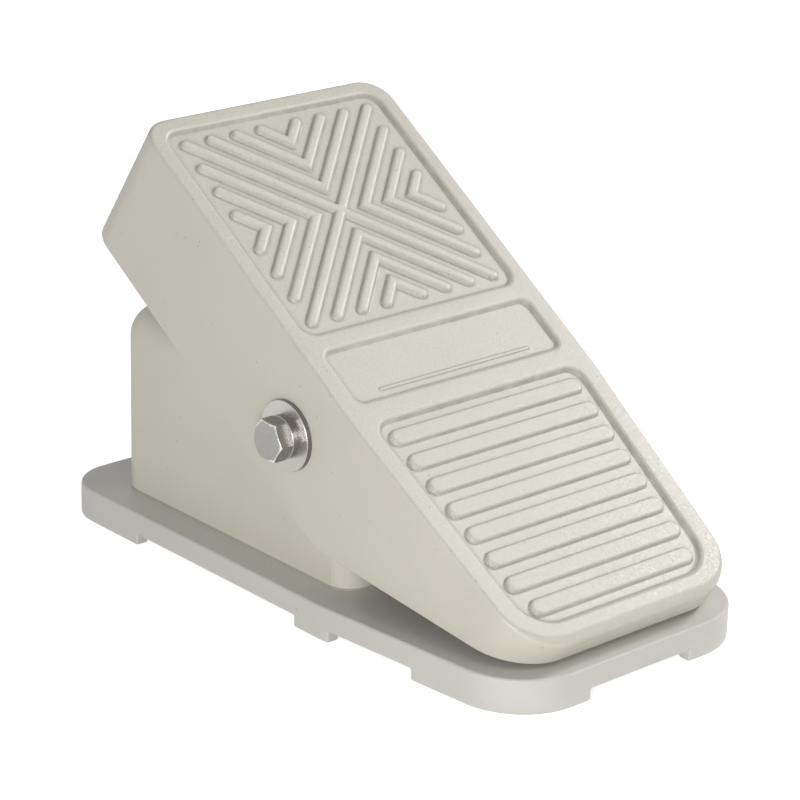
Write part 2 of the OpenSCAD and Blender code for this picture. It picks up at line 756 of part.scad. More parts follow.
// Involute teeth
function involute(r, base_r) =
    r <= base_r ? 0 : let (t = sqrt(pow(r / base_r, 2) - 1)) t * 180 / PI - atan(t);
function flank_angle(r, pitch_r) =
    let (base_r = pitch_r * cos(pressure_angle))
    (PI * gear_module - backlash) / 4 / pitch_r * 180 / PI
        + involute(pitch_r, base_r) - involute(r, base_r);
module tooth(pitch_r) {
    root = pitch_r - dedendum - root_sink;
    radii = [for (i = [0 : flank_steps]) root + (pitch_r + addendum - root) * i / flank_steps];
    polygon(concat(
        [for (r = radii) r * [cos(flank_angle(r, pitch_r)), sin(flank_angle(r, pitch_r))]],
        [for (i = [flank_steps : -1 : 0])
            radii[i] * [cos(flank_angle(radii[i], pitch_r)), -sin(flank_angle(radii[i], pitch_r))]]
    ));
}
module sector_outline() {
    root_r = sector_pitch_r - dedendum;
    a0 = gear_dir + (sector_first - sector_edge) * tooth_step;
    a1 = gear_dir + (sector_last + sector_edge) * tooth_step;
    mid = (a0 + a1) / 2;
    reach = root_r / cos((a1 - a0) / 2);
    difference() {
        intersection() {
            circle(root_r);
            polygon([[0, 0], reach * [cos(a0), sin(a0)], 2 * root_r * [cos(mid), sin(mid)],
                reach * [cos(a1), sin(a1)]]);
        }
        translate((hub_r + root_r) / 2 * [cos(mid), sin(mid)]) circle((root_r - hub_r) / 4);
    }
    for (k = [sector_first : sector_last]) rotate(gear_dir + k * tooth_step) tooth(sector_pitch_r);
}
module sector_gear() color(steel) at_pivot() difference() {
    union() {
        along_x(sector_t) sector_outline();
        x_bar(hub_r, -hub_l / 2, hub_l / 2);
    }
    x_bar(shaft_d / 2 + fit_clear, -base_w, base_w);
    translate([sector_grub_x, 0, 0]) rotate([180, 0, 0]) cylinder(d = grub_d, h = base_w);
    rotate([spring_pin_dir, 0, 0]) translate([0, spring_pin_reach, 0])
        x_bar(spring_pin_r + fit_clear, -base_w, 0);
}
module sector_grub_screw() color(zinc) at_pivot() translate([sector_grub_x, 0, 0]) rotate([180, 0, 0])
    translate([0, 0, shaft_d / 2 + fit_clear]) grub(grub_d, hub_r - shaft_d / 2 - grub_sink);
module spring_pin() color(steel) at_pivot() rotate([spring_pin_dir, 0, 0])
    translate([0, spring_pin_reach, 0]) x_bar(spring_pin_r, coil_x1 - wire_d, -fit_clear);
module pinion() color(brass) at_pot() difference() {
    union() {
        along_x(2 * pinion_x1) {
            circle(pinion_pitch_r - dedendum);
            for (k = [0 : pinion_teeth - 1])
                rotate(gear_dir + 180 + (k + 0.5) * 360 / pinion_teeth) tooth(pinion_pitch_r);
        }
        x_bar(pinion_hub_r, pinion_x1, pinion_hub_x1);
    }
    x_bar(spindle_d / 2 + fit_clear, -base_w, base_w);
    translate([pinion_grub_x, 0, 0]) cylinder(d = small_grub_d, h = base_w);
}
module pinion_grub_screw() color(zinc) at_pot() translate([pinion_grub_x, 0, spindle_d / 2 + fit_clear])
    grub(small_grub_d, pinion_hub_r - spindle_d / 2 - grub_sink);

// Switch, its bracket and the cam that works it
module cam_outline() {
    circle(cam_collar_r);
    polygon(concat([[0, 0]], [for (i = [-cam_lead : cam_steps + cam_over + cam_tail])
        let (
            a = cam_dir + i * press / cam_steps,
            lift = plunger_travel * min(max(i, 0), cam_steps + cam_over) / cam_steps
        )
        (cam_r + lift) * [cos(a), sin(a)]]));
}
module switch_cam() color(steel) at_pivot() difference() {
    union() {
        translate([switch_x, 0, 0]) along_x(cam_t) cam_outline();
        x_bar(cam_collar_r, switch_x - cam_collar_l / 2, switch_x + cam_collar_l);
    }
    x_bar(shaft_d / 2 + fit_clear, -base_w, base_w);
    translate([cam_grub_x, 0, 0]) cylinder(d = small_grub_d, h = base_w);
}
module cam_grub_screw() color(zinc) at_pivot() translate([cam_grub_x, 0, shaft_d / 2 + fit_clear])
    grub(small_grub_d, cam_collar_wall - grub_sink);
module switch_holes(d) for (m = [0, 1])
    translate([0, switch_y0 + switch_l / 2 + (m - 0.5) * switch_hole_span, switch_z0 + switch_hole_rise])
        x_bar(d / 2, switch_x - switch_t, switch_x + 2 * switch_t);
module switch_case() color(phenolic) difference() {
    translate([switch_x - switch_t / 2, switch_y0, switch_z0]) cube([switch_t, switch_l, switch_h]);
    switch_holes(switch_hole_d);
    translate([switch_x, pivot_y, switch_z1 - plunger_travel - plunger_guide - past])
        cylinder(r = plunger_d / 2 + run_clear, h = switch_h);
}
module switch_plunger() color(pale) translate([switch_x, pivot_y, switch_z1 - plunger_guide]) {
    stem = plunger_guide + plunger_proud - plunger_d / 4;
    cylinder(d = plunger_d, h = stem);
    translate([0, 0, stem]) cylinder(d1 = plunger_d, d2 = plunger_d / 2, h = plunger_d / 4);
}
module switch_tags() color(brass) for (i = [0 : 2]) translate([
    switch_x + switch_tag_x,
    switch_y0 + switch_tag.y + i * (switch_l - 3 * switch_tag.y) / 2,
    switch_z0 - switch_tag.z
]) cube(switch_tag);
module switch_bracket() color(steel) difference() {
    union() {
        translate([switch_x1, switch_y0, switch_z0 - switch_plate_drop])
            cube([sheet_t, switch_l, switch_h]);
        translate([switch_x1, switch_foot_y, base_h]) cube([sheet_t, switch_foot_w, switch_z0 - base_h]);
        translate([switch_x1, switch_foot_y, base_h]) cube([switch_foot_l, switch_foot_w, sheet_t]);
    }
    switch_holes(switch_hole_d);
    for (p = switch_screw_places()) translate([p.x, p.y, 0])
        cylinder(d = small_screw_d + screw_play, h = base_l);
}
module switch_bracket_screws() color(zinc) for (p = switch_screw_places())
    translate([p.x, p.y, base_h + sheet_t]) pan_screw(small_screw_d, sheet_t + base_t);
module switch_screws() color(zinc) for (m = [0, 1]) translate([
    switch_x - switch_t / 2,
    switch_y0 + switch_l / 2 + (m - 0.5) * switch_hole_span,
    switch_z0 + switch_hole_rise
]) rotate([0, -90, 0]) pan_screw(switch_hole_d, switch_t + sheet_t + screw_spare);

// Terminal block on the base plate
function clamp_places() = [for (i = [0 : block_ways - 1])
    [block_x + (i - (block_ways - 1) / 2) * block_pitch, block_y, base_h]];
module terminal_block() color(pale) difference() {
    translate([block_x - block_size.x / 2, block_y - block_size.y / 2, base_h]) cube(block_size);
    for (p = clamp_places()) translate([p.x, p.y, p.z + clamp_rise]) {
        y_bar(clamp_r, -block_size.y, block_size.y);
        for (m = [-0.5, 0.5]) translate([0, m * clamp_screw_span, 0])
            cylinder(d = clamp_screw_hole_d, h = block_size.z);
    }
    for (p = block_screw_places()) translate([p.x, p.y, 0]) {
        cylinder(d = block_screw_d + screw_play, h = base_l);
        translate([0, 0, base_h + block_screw_rise]) cylinder(d = block_screw_hole_d, h = base_l);
    }
}
module terminal_clamps() color(brass) for (p = clamp_places())
    translate([p.x, p.y, p.z + clamp_rise]) difference() {
        y_bar(clamp_r - fit_clear, -clamp_l / 2, clamp_l / 2);
        y_bar(clamp_bore_r, -base_l, base_l);
    }
module terminal_screws() color(zinc) {
    for (p = clamp_places(), m = [-0.5, 0.5])
        translate([p.x, p.y + m * clamp_screw_span, p.z + clamp_screw_rise])
            grub(clamp_screw_d, clamp_screw_l);
    for (p = block_screw_places()) translate([p.x, p.y, base_h + block_screw_rise])
        pan_screw(block_screw_d, block_screw_rise + base_t);
}

// Torsion spring round the shaft: a leg that hangs to the lug, the coil, and a leg under the pin
function coil_place(a) = [coil_x0 + coil_pitch * a / 360, coil_r * cos(a), coil_r * sin(a)];
function coil_out(a) = [0, cos(a), sin(a)];
function coil_along(a) = unit([coil_pitch / (2 * PI), -coil_r * sin(a), coil_r * cos(a)]);
function wire_ring(centre, out, along) =
    let (across = cross(along, out))
    [for (i = [0 : wire_sides - 1])
        centre + wire_d / 2 * (cos(i * 360 / wire_sides) * out + sin(i * 360 / wire_sides) * across)];
module return_spring() color(steel) at_pivot() {
    rings = concat(
        [wire_ring(coil_place(0) - [0, 0, leg_l], coil_out(0), [0, 0, 1])],
        [for (a = [0 : coil_step : coil_sweep]) wire_ring(coil_place(a), coil_out(a), coil_along(a))],
        [wire_ring(coil_place(coil_sweep) + [0, leg_l, 0], coil_out(coil_sweep), [0, 1, 0])]
    );
    n = len(rings);
    polyhedron(
        points = [for (ring = rings) each ring],
        faces = concat(
            [[for (i = [0 : wire_sides - 1]) i]],
            [for (k = [0 : n - 2], i = [0 : wire_sides - 1])
                let (j = (i + 1) % wire_sides)
                [k * wire_sides + i, (k + 1) * wire_sides + i,
                    (k + 1) * wire_sides + j, k * wire_sides + j]],
            [[for (i = [wire_sides - 1 : -1 : 0]) (n - 1) * wire_sides + i]]
        )
    );
}

// Treadle
function treadle_half(u) = treadle_w / 2
    - max(0, u - treadle_taper) * (treadle_w - treadle_heel_w) / 2 / (treadle_l - treadle_taper);
function treadle_plan() =
    let (w = treadle_w / 2, hw = treadle_heel_w / 2)
    rounded(
        [[-w, base_l], [w, base_l], [w, -treadle_taper],
            [hw, -treadle_l], [-hw, -treadle_l], [-w, -treadle_taper]],
        [0, 0, 0, heel_r, heel_r, 0]
    );
function hollow_plan() =
    let (
        w = inner_x,
        y = treadle_l - treadle_wall,
        hw = treadle_half(y) - treadle_wall,
        r = heel_r - treadle_wall,
        turn = treadle_taper + treadle_wall + past
    )
    rounded([[-w, base_l], [w, base_l], [w, -turn], [hw, -y], [-hw, -y], [-w, -turn]], [0, 0, 0, r, r, 0]);
// The toe corners lean with the toe wall
module treadle_solid() intersection() {
    translate([0, 0, -2 * toe_depth]) linear_extrude(3 * toe_depth) polygon(treadle_plan());
    along_x(2 * treadle_w) polygon(rounded(
        [[0, 0], [-toe_lean, -toe_depth], [-rise_start, -toe_depth], [-treadle_l, -heel_depth],
            [-treadle_l - base_w, -heel_depth], [-treadle_l - base_w, 0]],
        [edge_r, foot_r, foot_r, 0, 0, 0]
    ));
    rotate([-lean_angle, 0, 0]) translate([0, 0, -base_l]) linear_extrude(2 * base_l) polygon(rounded(
        [[-treadle_w / 2, 0], [treadle_w / 2, 0],
            [treadle_w / 2, -2 * base_l], [-treadle_w / 2, -2 * base_l]],
        [toe_r, toe_r, 0, 0]
    ));
}
module treadle_hollow() intersection() {
    translate([0, 0, -2 * toe_depth]) linear_extrude(2 * toe_depth - top_t) polygon(hollow_plan());
    rotate([-lean_angle, 0, 0]) translate([0, 0, -base_l]) linear_extrude(2 * base_l) polygon(rounded(
        [[-inner_x, -treadle_wall], [inner_x, -treadle_wall],
            [inner_x, -2 * base_l], [-inner_x, -2 * base_l]],
        [toe_r - treadle_wall, toe_r - treadle_wall, 0, 0]
    ));
}
cross_x = treadle_w / 2 - border;
cross_u = border + cross_panel_l / 2;
plain_u0 = border + cross_panel_l + panel_land;
bar_u0 = plain_u0 + plain_panel_l + panel_land;
bar_u1 = treadle_l - border;
bar_corner_cut = 0.35;
module sunk_panel(pts, radii) translate([0, 0, -panel_sink]) linear_extrude(2 * panel_sink)
    polygon(rounded(pts, radii));
module tread_panels() {
    x = cross_x;
    bx = treadle_half(bar_u0) - border;
    hx = treadle_half(bar_u1) - border;
    sunk_panel(
        [[-x, -border], [x, -border], [x, -border - cross_panel_l], [-x, -border - cross_panel_l]],
        [panel_r, panel_r, panel_r, panel_r]
    );
    sunk_panel(
        [[-x, -plain_u0], [x, -plain_u0], [x, -plain_u0 - plain_panel_l], [-x, -plain_u0 - plain_panel_l]],
        [panel_r / 2, panel_r / 2, panel_r / 2, panel_r / 2]
    );
    sunk_panel(
        [[-bx, -bar_u0], [bx, -bar_u0], [hx, -bar_u1], [-hx, -bar_u1]],
        [panel_r, panel_r, panel_heel_r, panel_heel_r]
    );
}
// Radius of a round-topped rib that is w wide where it leaves its panel and stands h proud
function rib_radius(w, h) = (h * h + w * w / 4) / (2 * h);
// Half a rib along +Z with a round end at l, to be laid in a panel
module rib_half(r, l) rotate_extrude() {
    translate([0, -2 * r]) square([r, l + 2 * r]);
    translate([0, l]) intersection() {
        circle(r);
        square([r, r]);
    }
}
// One quarter of the crossed panel: parallel ribs that meet their mirror images on its middle lines
module cross_quarter() {
    r = rib_radius(rib_w, rib_h);
    limit = min(cross_x, cross_panel_l / 2) - rib_end_gap;
    count = floor((limit - rib_w) / rib_pitch);
    intersection() {
        translate([0, -treadle_w, -panel_sink - past]) cube([treadle_w, treadle_w, 3 * panel_sink]);
        for (k = [-count : count])
            translate([max(0, k) * rib_pitch, min(0, k) * rib_pitch, -panel_sink + rib_h - r])
                rotate([0, 0, -45]) rotate([0, 90, 0])
                    rib_half(r, (limit - abs(k) * rib_pitch) * sqrt(2) - rib_w / 2);
    }
}
module cross_ribs() translate([0, -cross_u, 0]) for (mx = [0, 1], my = [0, 1])
    mirror([mx, 0, 0]) mirror([0, my, 0]) cross_quarter();
module bars() {
    r = rib_radius(bar_w, bar_h);
    span = bar_u1 - bar_u0;
    count = floor((span - bar_w - 2 * rib_end_gap) / bar_pitch) + 1;
    first = bar_u0 + (span - (count - 1) * bar_pitch) / 2;
    for (i = [0 : count - 1]) {
        u = first + i * bar_pitch;
        corner = max(0, u - bar_u1 + panel_heel_r) * bar_corner_cut;
        half = treadle_half(u) - border - rib_end_gap - bar_w / 2 - corner;
        intersection() {
            translate([0, -u, -panel_sink + bar_h - r]) for (m = [0, 1])
                mirror([m, 0, 0]) rotate([0, 90, 0]) rib_half(r, half);
            translate([-treadle_w, -u - bar_pitch, -panel_sink - past])
                cube([2 * treadle_w, 2 * bar_pitch, 3 * panel_sink]);
        }
    }
}
// A stop under the treadle's top, level with the floor when the treadle has turned by a
module stop_pad(y, z, a) intersection() {
    translate([0, -pivot_u, -pivot_drop]) rotate([a - tilt, 0, 0])
        both_sides() translate([buffer_x, y - pivot_y, z + stop_gap - pivot_z])
            cylinder(r = pad_r, h = toe_depth);
    translate([-treadle_w, -2 * treadle_l, -toe_depth])
        cube([2 * treadle_w, 3 * treadle_l, toe_depth - top_t / 2]);
}
module treadle() color(paint) on_treadle() {
    difference() {
        union() {
            difference() {
                treadle_solid();
                treadle_hollow();
            }
            stop_pad(toe_buffer_y, housing_z1 + buffer_h, press);
            stop_pad(heel_buffer_y, base_h + buffer_h, 0);
        }
        tread_panels();
        translate([0, -pivot_u, -pivot_drop]) {
            x_bar(bolt_d / 2 + bolt_play, -base_w, base_w);
            translate([0, 0, key_reach]) x_bar(key_d / 2 + fit_clear, -base_w, base_w);
        }
    }
    cross_ribs();
    bars();
}

// Pivot shaft, its bolts, washers and keys
module pivot_shaft() color(steel) at_pivot() difference() {
    x_bar(shaft_d / 2, -inner_x, inner_x);
    both_sides() x_bar(bolt_d / 2, inner_x - bolt_l, base_w);
    both_sides() rotate([tilt, 0, 0]) translate([0, 0, key_reach])
        x_bar(key_d / 2 + fit_clear, inner_x - key_in, base_w);
    both_sides() difference() {
        x_bar(shaft_d, circlip_x - fit_clear, circlip_x + circlip_t + fit_clear);
        x_bar(groove_r, 0, base_w);
    }
}
module pivot_bolt() at_pivot() {
    translate([head_x, 0, 0]) rotate([0, 90, 0]) rotate([0, 0, head_turn]) hex_head(head_af, head_h);
    x_bar(bolt_d / 2 - fit_clear, head_x - bolt_l, head_x + past / 2);
}
module pivot_bolt_left() color(steel) mirror([1, 0, 0]) pivot_bolt();
module pivot_bolt_right() color(steel) pivot_bolt();
module split_washers() color(steel) both_sides() at_pivot() difference() {
    x_bar(split_d / 2, treadle_w / 2 + washer_t, head_x);
    x_bar(bolt_d / 2 + fit_clear, 0, base_w);
    translate([head_x - split_t / 2, split_d / 2, 0]) rotate([0, split_slope, 0])
        cube([2 * split_t, split_d, split_slit], center = true);
}
module flat_washers() color(steel) both_sides() at_pivot() difference() {
    x_bar(washer_d / 2, treadle_w / 2, treadle_w / 2 + washer_t);
    x_bar(bolt_d / 2 + bolt_play, 0, base_w);
}
module treadle_keys() color(steel) both_sides() at_pivot() rotate([tilt, 0, 0])
    translate([0, 0, key_reach]) x_bar(key_d / 2, inner_x - key_in + key_sink, treadle_w / 2 - key_sink);
module shaft_circlips() color(zinc) both_sides() at_pivot() difference() {
    x_bar(circlip_r, circlip_x, circlip_x + circlip_t);
    x_bar(groove_r + fit_clear, 0, base_w);
    translate([0, -circlip_gap / 2, -base_w]) cube([base_w, circlip_gap, base_w]);
}

base_plate();
housing();
housing_gasket();
housing_screws();
shaft_bush_left();
shaft_bush_right();
shaft_seal_left();
shaft_seal_right();
toe_buffers();
toe_buffer_screws();
heel_buffers();
heel_buffer_screws();
gland_body();
gland_nut();
gland_seal();
gland_locknut();
pot_bracket();
pot_bracket_screws();
pot_case();
pot_tags();
pot_washer();
pot_nut();
switch_bracket();
switch_bracket_screws();
switch_case();
switch_screws();
switch_tags();
terminal_block();
terminal_clamps();
terminal_screws();
return_spring();
treadle();
pivot_shaft();
pivot_bolt_left();
pivot_bolt_right();
split_washers();
flat_washers();
treadle_keys();
shaft_circlips();
sector_gear();
sector_grub_screw();
spring_pin();
switch_cam();
cam_grub_screw();
pot_spindle();
pinion();
pinion_grub_screw();
switch_plunger();
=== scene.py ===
# %% [markdown]
# # A foot pedal that sets the speed of a machine
# The CAD frame brings every solid, in metres, at its real place. This lesson gives the pedal its
# looks: three painted castings with soft edges, a tread of cast ribs and bars, stainless bolts, and
# a finish for each piece of the works inside the housing.

import json
import math

import bmesh
import bpy
import numpy as np
from mathutils import Matrix, Vector


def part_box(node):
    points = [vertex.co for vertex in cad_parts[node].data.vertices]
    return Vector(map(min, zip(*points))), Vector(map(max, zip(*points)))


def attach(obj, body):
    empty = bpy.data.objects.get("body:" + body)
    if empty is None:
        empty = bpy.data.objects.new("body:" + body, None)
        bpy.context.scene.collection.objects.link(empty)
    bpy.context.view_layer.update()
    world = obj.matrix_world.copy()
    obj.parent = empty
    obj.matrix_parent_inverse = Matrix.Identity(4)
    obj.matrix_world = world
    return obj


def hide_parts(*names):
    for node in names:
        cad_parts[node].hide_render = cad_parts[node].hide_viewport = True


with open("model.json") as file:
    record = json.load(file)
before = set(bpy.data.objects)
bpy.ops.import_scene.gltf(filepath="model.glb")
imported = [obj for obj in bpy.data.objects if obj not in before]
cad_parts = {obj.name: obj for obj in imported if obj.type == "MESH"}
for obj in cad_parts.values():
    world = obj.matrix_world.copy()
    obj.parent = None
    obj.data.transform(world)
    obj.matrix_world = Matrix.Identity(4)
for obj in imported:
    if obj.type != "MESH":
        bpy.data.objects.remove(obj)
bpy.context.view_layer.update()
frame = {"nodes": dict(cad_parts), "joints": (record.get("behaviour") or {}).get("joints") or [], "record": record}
MM = 0.001


# %% [markdown]
# ## Helpers
# Colours are written as sRGB hex, the way paint charts give them, and shaders want linear light, so
# one function turns the first into the second. Three more add nodes and link them, for materials and
# for geometry alike: any node, a sum, and a change of range. The last one makes a mesh a finished
# piece: it smooths all but the sharp edges, gives the finish, and tells the frame which body carries
# it.

# %% Colour and nodes
def linear(hex_colour):
    """An sRGB hex colour as linear red, green, blue and alpha."""
    parts = [int(hex_colour[i : i + 2], 16) / 255 for i in (1, 3, 5)]
    return [p / 12.92 if p <= 0.04045 else ((p + 0.055) / 1.055) ** 2.4 for p in parts] + [1]


def add(tree, kind, inputs=(), **settings):
    """Adds a node. An input is a node, a socket or a constant, under the input's name or number."""
    node = tree.nodes.new(kind)
    for name, value in settings.items():
        setattr(node, name, value)
    for key, value in inputs.items() if isinstance(inputs, dict) else enumerate(inputs):
        if isinstance(value, bpy.types.Node):
            value = next(socket for socket in value.outputs if socket.enabled)
        if isinstance(value, bpy.types.NodeSocket):
            tree.links.new(value, node.inputs[key])
        else:
            node.inputs[key].default_value = value
    return node


def calc(tree, operation, *values):
    """Adds a node that reckons with one, two or three values."""
    return add(tree, "ShaderNodeMath", values, operation=operation)


def span(tree, value, low, high, to_low=0.0, to_high=1.0):
    """Adds a node that brings a value from one range to another and holds it there."""
    ranges = {"From Min": low, "From Max": high, "To Min": to_low, "To Max": to_high}
    return add(tree, "ShaderNodeMapRange", {"Value": value} | ranges)


print("mid grey in linear light:", linear("#808080"))

# %% Finished piece
SHARP_ANGLE = math.radians(24)


def piece(name, mesh, material, body, slot, *stands_for):
    """A finished piece that rides on a body and stands for CAD nodes."""
    if isinstance(mesh, bmesh.types.BMesh):
        shape, mesh = mesh, bpy.data.meshes.new(name)
        shape.to_mesh(mesh)
        shape.free()
    mesh.shade_smooth()
    mesh.set_sharp_from_angle(angle=SHARP_ANGLE)
    mesh.materials.clear()
    mesh.materials.append(material)
    made = bpy.data.objects.new(name, mesh)
    bpy.context.scene.collection.objects.link(made)
    # Large faces lead the normals, so that a flat wall stays flat up to its round edge
    made.modifiers.new("weigh", "WEIGHTED_NORMAL").keep_sharp = True
    mesh = bpy.data.meshes.new_from_object(made.evaluated_get(bpy.context.evaluated_depsgraph_get()))
    made.modifiers.clear()
    made.data = mesh
    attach(made, body)
    if stands_for:
        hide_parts(*stands_for)
    print(f"{name}: {len(mesh.polygons)} faces")
    return made


# %% [markdown]
# ## Painted casting
# The treadle, the housing and the base plate are castings under a satin light grey paint. Paint
# follows the skin of the mould, so a fine grain shows as tiny glints, and the coat is nowhere quite
# even. Two sizes of noise give both: a coarse one drifts the colour a little, and a fine one lifts
# the surface. The tread is left rough, so that a shoe doesn't slip on it, and the other faces are
# smoother. An attribute on the mesh, called grain, says how rough each point is. A second one says
# how much darker the paint is drawn: dirt together with painted shade at the foot of the ribs and
# bars, in the crease under the panels' rims and on the panels' walls that face the heel or the left.
# Below zero it draws the crowns of the crossed ribs paler, as paint rubbed pale together with a
# painted highlight. A few dark specks are pinholes of the casting, and on the tread pale specks are
# painted glints.

# %% What all finishes share
# Colour drifts and dust lies in clouds of this size
CLOUD_MM = 45
# Most values of a noise lie in this range
NOISE_RANGE = (0.3, 0.7)
# Refraction of paint and plastics
COAT_IOR = 1.5


def new_material(name):
    """An empty material, its node tree, and the place on the object."""
    material = bpy.data.materials.new(name)
    material.use_nodes = True
    tree = material.node_tree
    tree.nodes.clear()
    return material, tree, add(tree, "ShaderNodeTexCoord").outputs["Object"]


def noise(tree, place, size_mm, detail):
    """Noise whose marks have a size in millimetres."""
    return add(tree, "ShaderNodeTexNoise", {"Vector": place, "Scale": 1 / (size_mm * MM), "Detail": detail})


def two_tone(tree, share, dark, light):
    """A colour between two hex colours."""
    tones = {0: share, 6: linear(dark), 7: linear(light)}
    return add(tree, "ShaderNodeMix", tones, data_type="RGBA").outputs[2]


def close_material(tree, inputs):
    """Ends a material with one shader for its surface."""
    shader = add(tree, "ShaderNodeBsdfPrincipled", inputs)
    add(tree, "ShaderNodeOutputMaterial", {"Surface": shader})


print("clouds of", CLOUD_MM, "mm on every finish but the metals")

# %% Satin paint
# The real grit is about 0.3 mm and is drawn coarser, so that it shows at this distance
GRAIN_MM = 0.85
SMOOTH_HEIGHT_MM = 0.02
GRAIN_HEIGHT_MM = 0.05
PAINT_ROUGHNESS = (0.34, 0.54)
# Dust stays in the pits of the grain, which are that much darker
PIT_SHADE = 0.08
PIT_RANGE = (0.35, 0.6)
# Dirt and painted shade in the creases of the tread come in blotches
CREASE_SHADE = 0.27
BLOTCH_MM = 6
BLOTCH_RANGE = (0.3, 0.6)
# Specks: their spacing and radius in millimetres, and how much paler they are, below zero darker
PINHOLES = (6, 0.4, -0.35)
# Pale specks on the tread are painted glints
PAINTED_GLINTS = (1.5, 0.32, 0.1)


def specks(tree, place, where, spacing_mm, radius_mm, strength):
    """A factor that is 1 between specks and more or less than 1 on them."""
    cells = add(tree, "ShaderNodeTexVoronoi", {"Vector": place, "Scale": 1 / (spacing_mm * MM)})
    edge = radius_mm / spacing_mm
    spot = span(tree, cells.outputs["Distance"], edge, edge / 2, 0, strength)
    return calc(tree, "MULTIPLY_ADD", spot, where, 1)


def satin(name, dark, light):
    """Satin paint that drifts between two hex colours."""
    material, tree, place = new_material(name)
    grit = noise(tree, place, GRAIN_MM, 4)
    grain = add(tree, "ShaderNodeAttribute", attribute_name="grain").outputs["Fac"]
    pits = span(tree, grit, *PIT_RANGE, 1 - PIT_SHADE, 1)
    shade = add(tree, "ShaderNodeMix", {0: grain, 2: 1.0, 3: pits})
    # Dirt together with painted shade, read from the mesh, darkens the colour; below zero it is wear with a
    # painted highlight
    crease_dirt_and_shade = add(tree, "ShaderNodeAttribute", attribute_name="crease_dirt_and_shade").outputs["Fac"]
    blotch = noise(tree, place, BLOTCH_MM, 2)
    patchy = span(tree, blotch, *BLOTCH_RANGE, CREASE_SHADE / 2, CREASE_SHADE)
    dirt_and_shade = calc(tree, "MULTIPLY", crease_dirt_and_shade, patchy)
    undarkened = calc(tree, "SUBTRACT", 1, dirt_and_shade)
    darkened = calc(tree, "MULTIPLY", shade, undarkened)
    pinholes = specks(tree, place, 1, *PINHOLES)
    # Painted glints where the casting is grained
    painted_glints = specks(tree, place, grain, *PAINTED_GLINTS)
    marks = calc(tree, "MULTIPLY", pinholes, painted_glints)
    toned = calc(tree, "MULTIPLY", darkened, marks)
    colour = two_tone(tree, noise(tree, place, CLOUD_MM, 3), dark, light)
    speckled = add(tree, "ShaderNodeVectorMath", {0: colour, "Scale": toned}, operation="SCALE")
    gloss = span(tree, grit, *NOISE_RANGE, *PAINT_ROUGHNESS)
    height = span(tree, grain, 0, 1, SMOOTH_HEIGHT_MM * MM, GRAIN_HEIGHT_MM * MM)
    bump = add(tree, "ShaderNodeBump", {"Height": grit, "Strength": 1, "Distance": height})
    close_material(tree, {"Base Color": speckled, "Roughness": gloss, "Normal": bump, "IOR": COAT_IOR})
    return material


def grain_of(mesh, values):
    """Writes how grained the casting is at each point, from 0 to 1."""
    mesh.attributes.new("grain", "FLOAT", "POINT").data.foreach_set("value", values)


satin_paint = satin("satin paint on a casting", "#cdc9bc", "#d8d4c8")
# The base plate is a cooler grey
base_paint = satin("satin paint on the base plate", "#cccac3", "#d7d5cf")
print("paints:", satin_paint.name, "and", base_paint.name)

# %% [markdown]
# ## Metals
# Stainless bolts are forged and turned, so their skin has fine marks that break up the reflections.
# Steel inside the housing is ground or rolled, zinc plating is paler and slightly cloudy, and brass is
# warm. All are metals: the colour goes into the reflection, and the roughness decides how blurred that
# is. The bolts lie along X, and how much a face looks along X sets a painted shade: the sides and the
# end of a head and the rim of a washer are drawn darker than the chamfer between them, as painted
# shade and painted reflections.

# %% Stainless steel, bright steel, zinc plate and brass
TOOL_MARK_MM = 0.5
PLATE_CLOUD_MM = 3
GLOSS_SPREAD = 0.06
# How far a face looks along X: the painted shade of a side fades out up to the first share, that of an end begins
# in the range
SIDE_TO = 0.7
END_RANGE = (0.9, 0.99)


def metal(name, dark, light, roughness, mark_mm, mark_height_mm, side_painted_shade=1.0, end_painted_shade=1.0):
    """A metal finish. Sides and ends of what lies along X may get painted shade, darker than the chamfer."""
    material, tree, place = new_material(name)
    marks = noise(tree, place, mark_mm, 3)
    gloss = span(tree, marks, *NOISE_RANGE, roughness - GLOSS_SPREAD, roughness + GLOSS_SPREAD)
    bump = add(tree, "ShaderNodeBump", {"Height": marks, "Strength": 1, "Distance": mark_height_mm * MM})
    # Painted shade and painted reflection: faces that look across X or straight along it are drawn darker
    facing = add(tree, "ShaderNodeSeparateXYZ", [add(tree, "ShaderNodeTexCoord").outputs["Normal"]])
    across = calc(tree, "ABSOLUTE", facing.outputs["X"])
    edge = span(tree, across, 0, SIDE_TO, side_painted_shade, 1)
    end = span(tree, across, *END_RANGE, 1, end_painted_shade)
    painted_shade = calc(tree, "MULTIPLY", edge, end)
    colour = two_tone(tree, marks, dark, light)
    shaded = add(tree, "ShaderNodeVectorMath", {0: colour, "Scale": painted_shade}, operation="SCALE")
    close_material(tree, {"Base Color": shaded, "Metallic": 1, "Roughness": gloss, "Normal": bump})
    return material


# The rims of the washers get painted shade, and so do the sides and ends of the bolt heads
stainless = metal("pressed stainless steel", "#b5b1ad", "#c1bdb9", 0.3, TOOL_MARK_MM, 0.003, side_painted_shade=0.5)
forged_stainless = metal(
    "forged stainless steel",
    "#d3d0cc",
    "#dbd8d4",
    0.24,
    TOOL_MARK_MM,
    0.002,
    side_painted_shade=0.42,
    end_painted_shade=0.52,
)
bright_steel = metal("ground bright steel", "#a9abad", "#bdbfc0", 0.3, TOOL_MARK_MM, 0.004)
zinc_plate = metal("zinc plated steel", "#a3a7a8", "#b9bcbb", 0.38, PLATE_CLOUD_MM, 0.004)
plain_brass = metal("turned brass", "#b08d45", "#c7a75f", 0.32, TOOL_MARK_MM, 0.004)
print("five metals")

# %% [markdown]
# ## Rubber and plastics
# Buffers, seals and gaskets are moulded rubber: dark, dull and a little dusty. The gland and the
# switch are moulded plastics, whose skin carries the faint spark pattern of the mould. One function
# makes them all, because they differ only in colour, gloss and the height of that pattern.

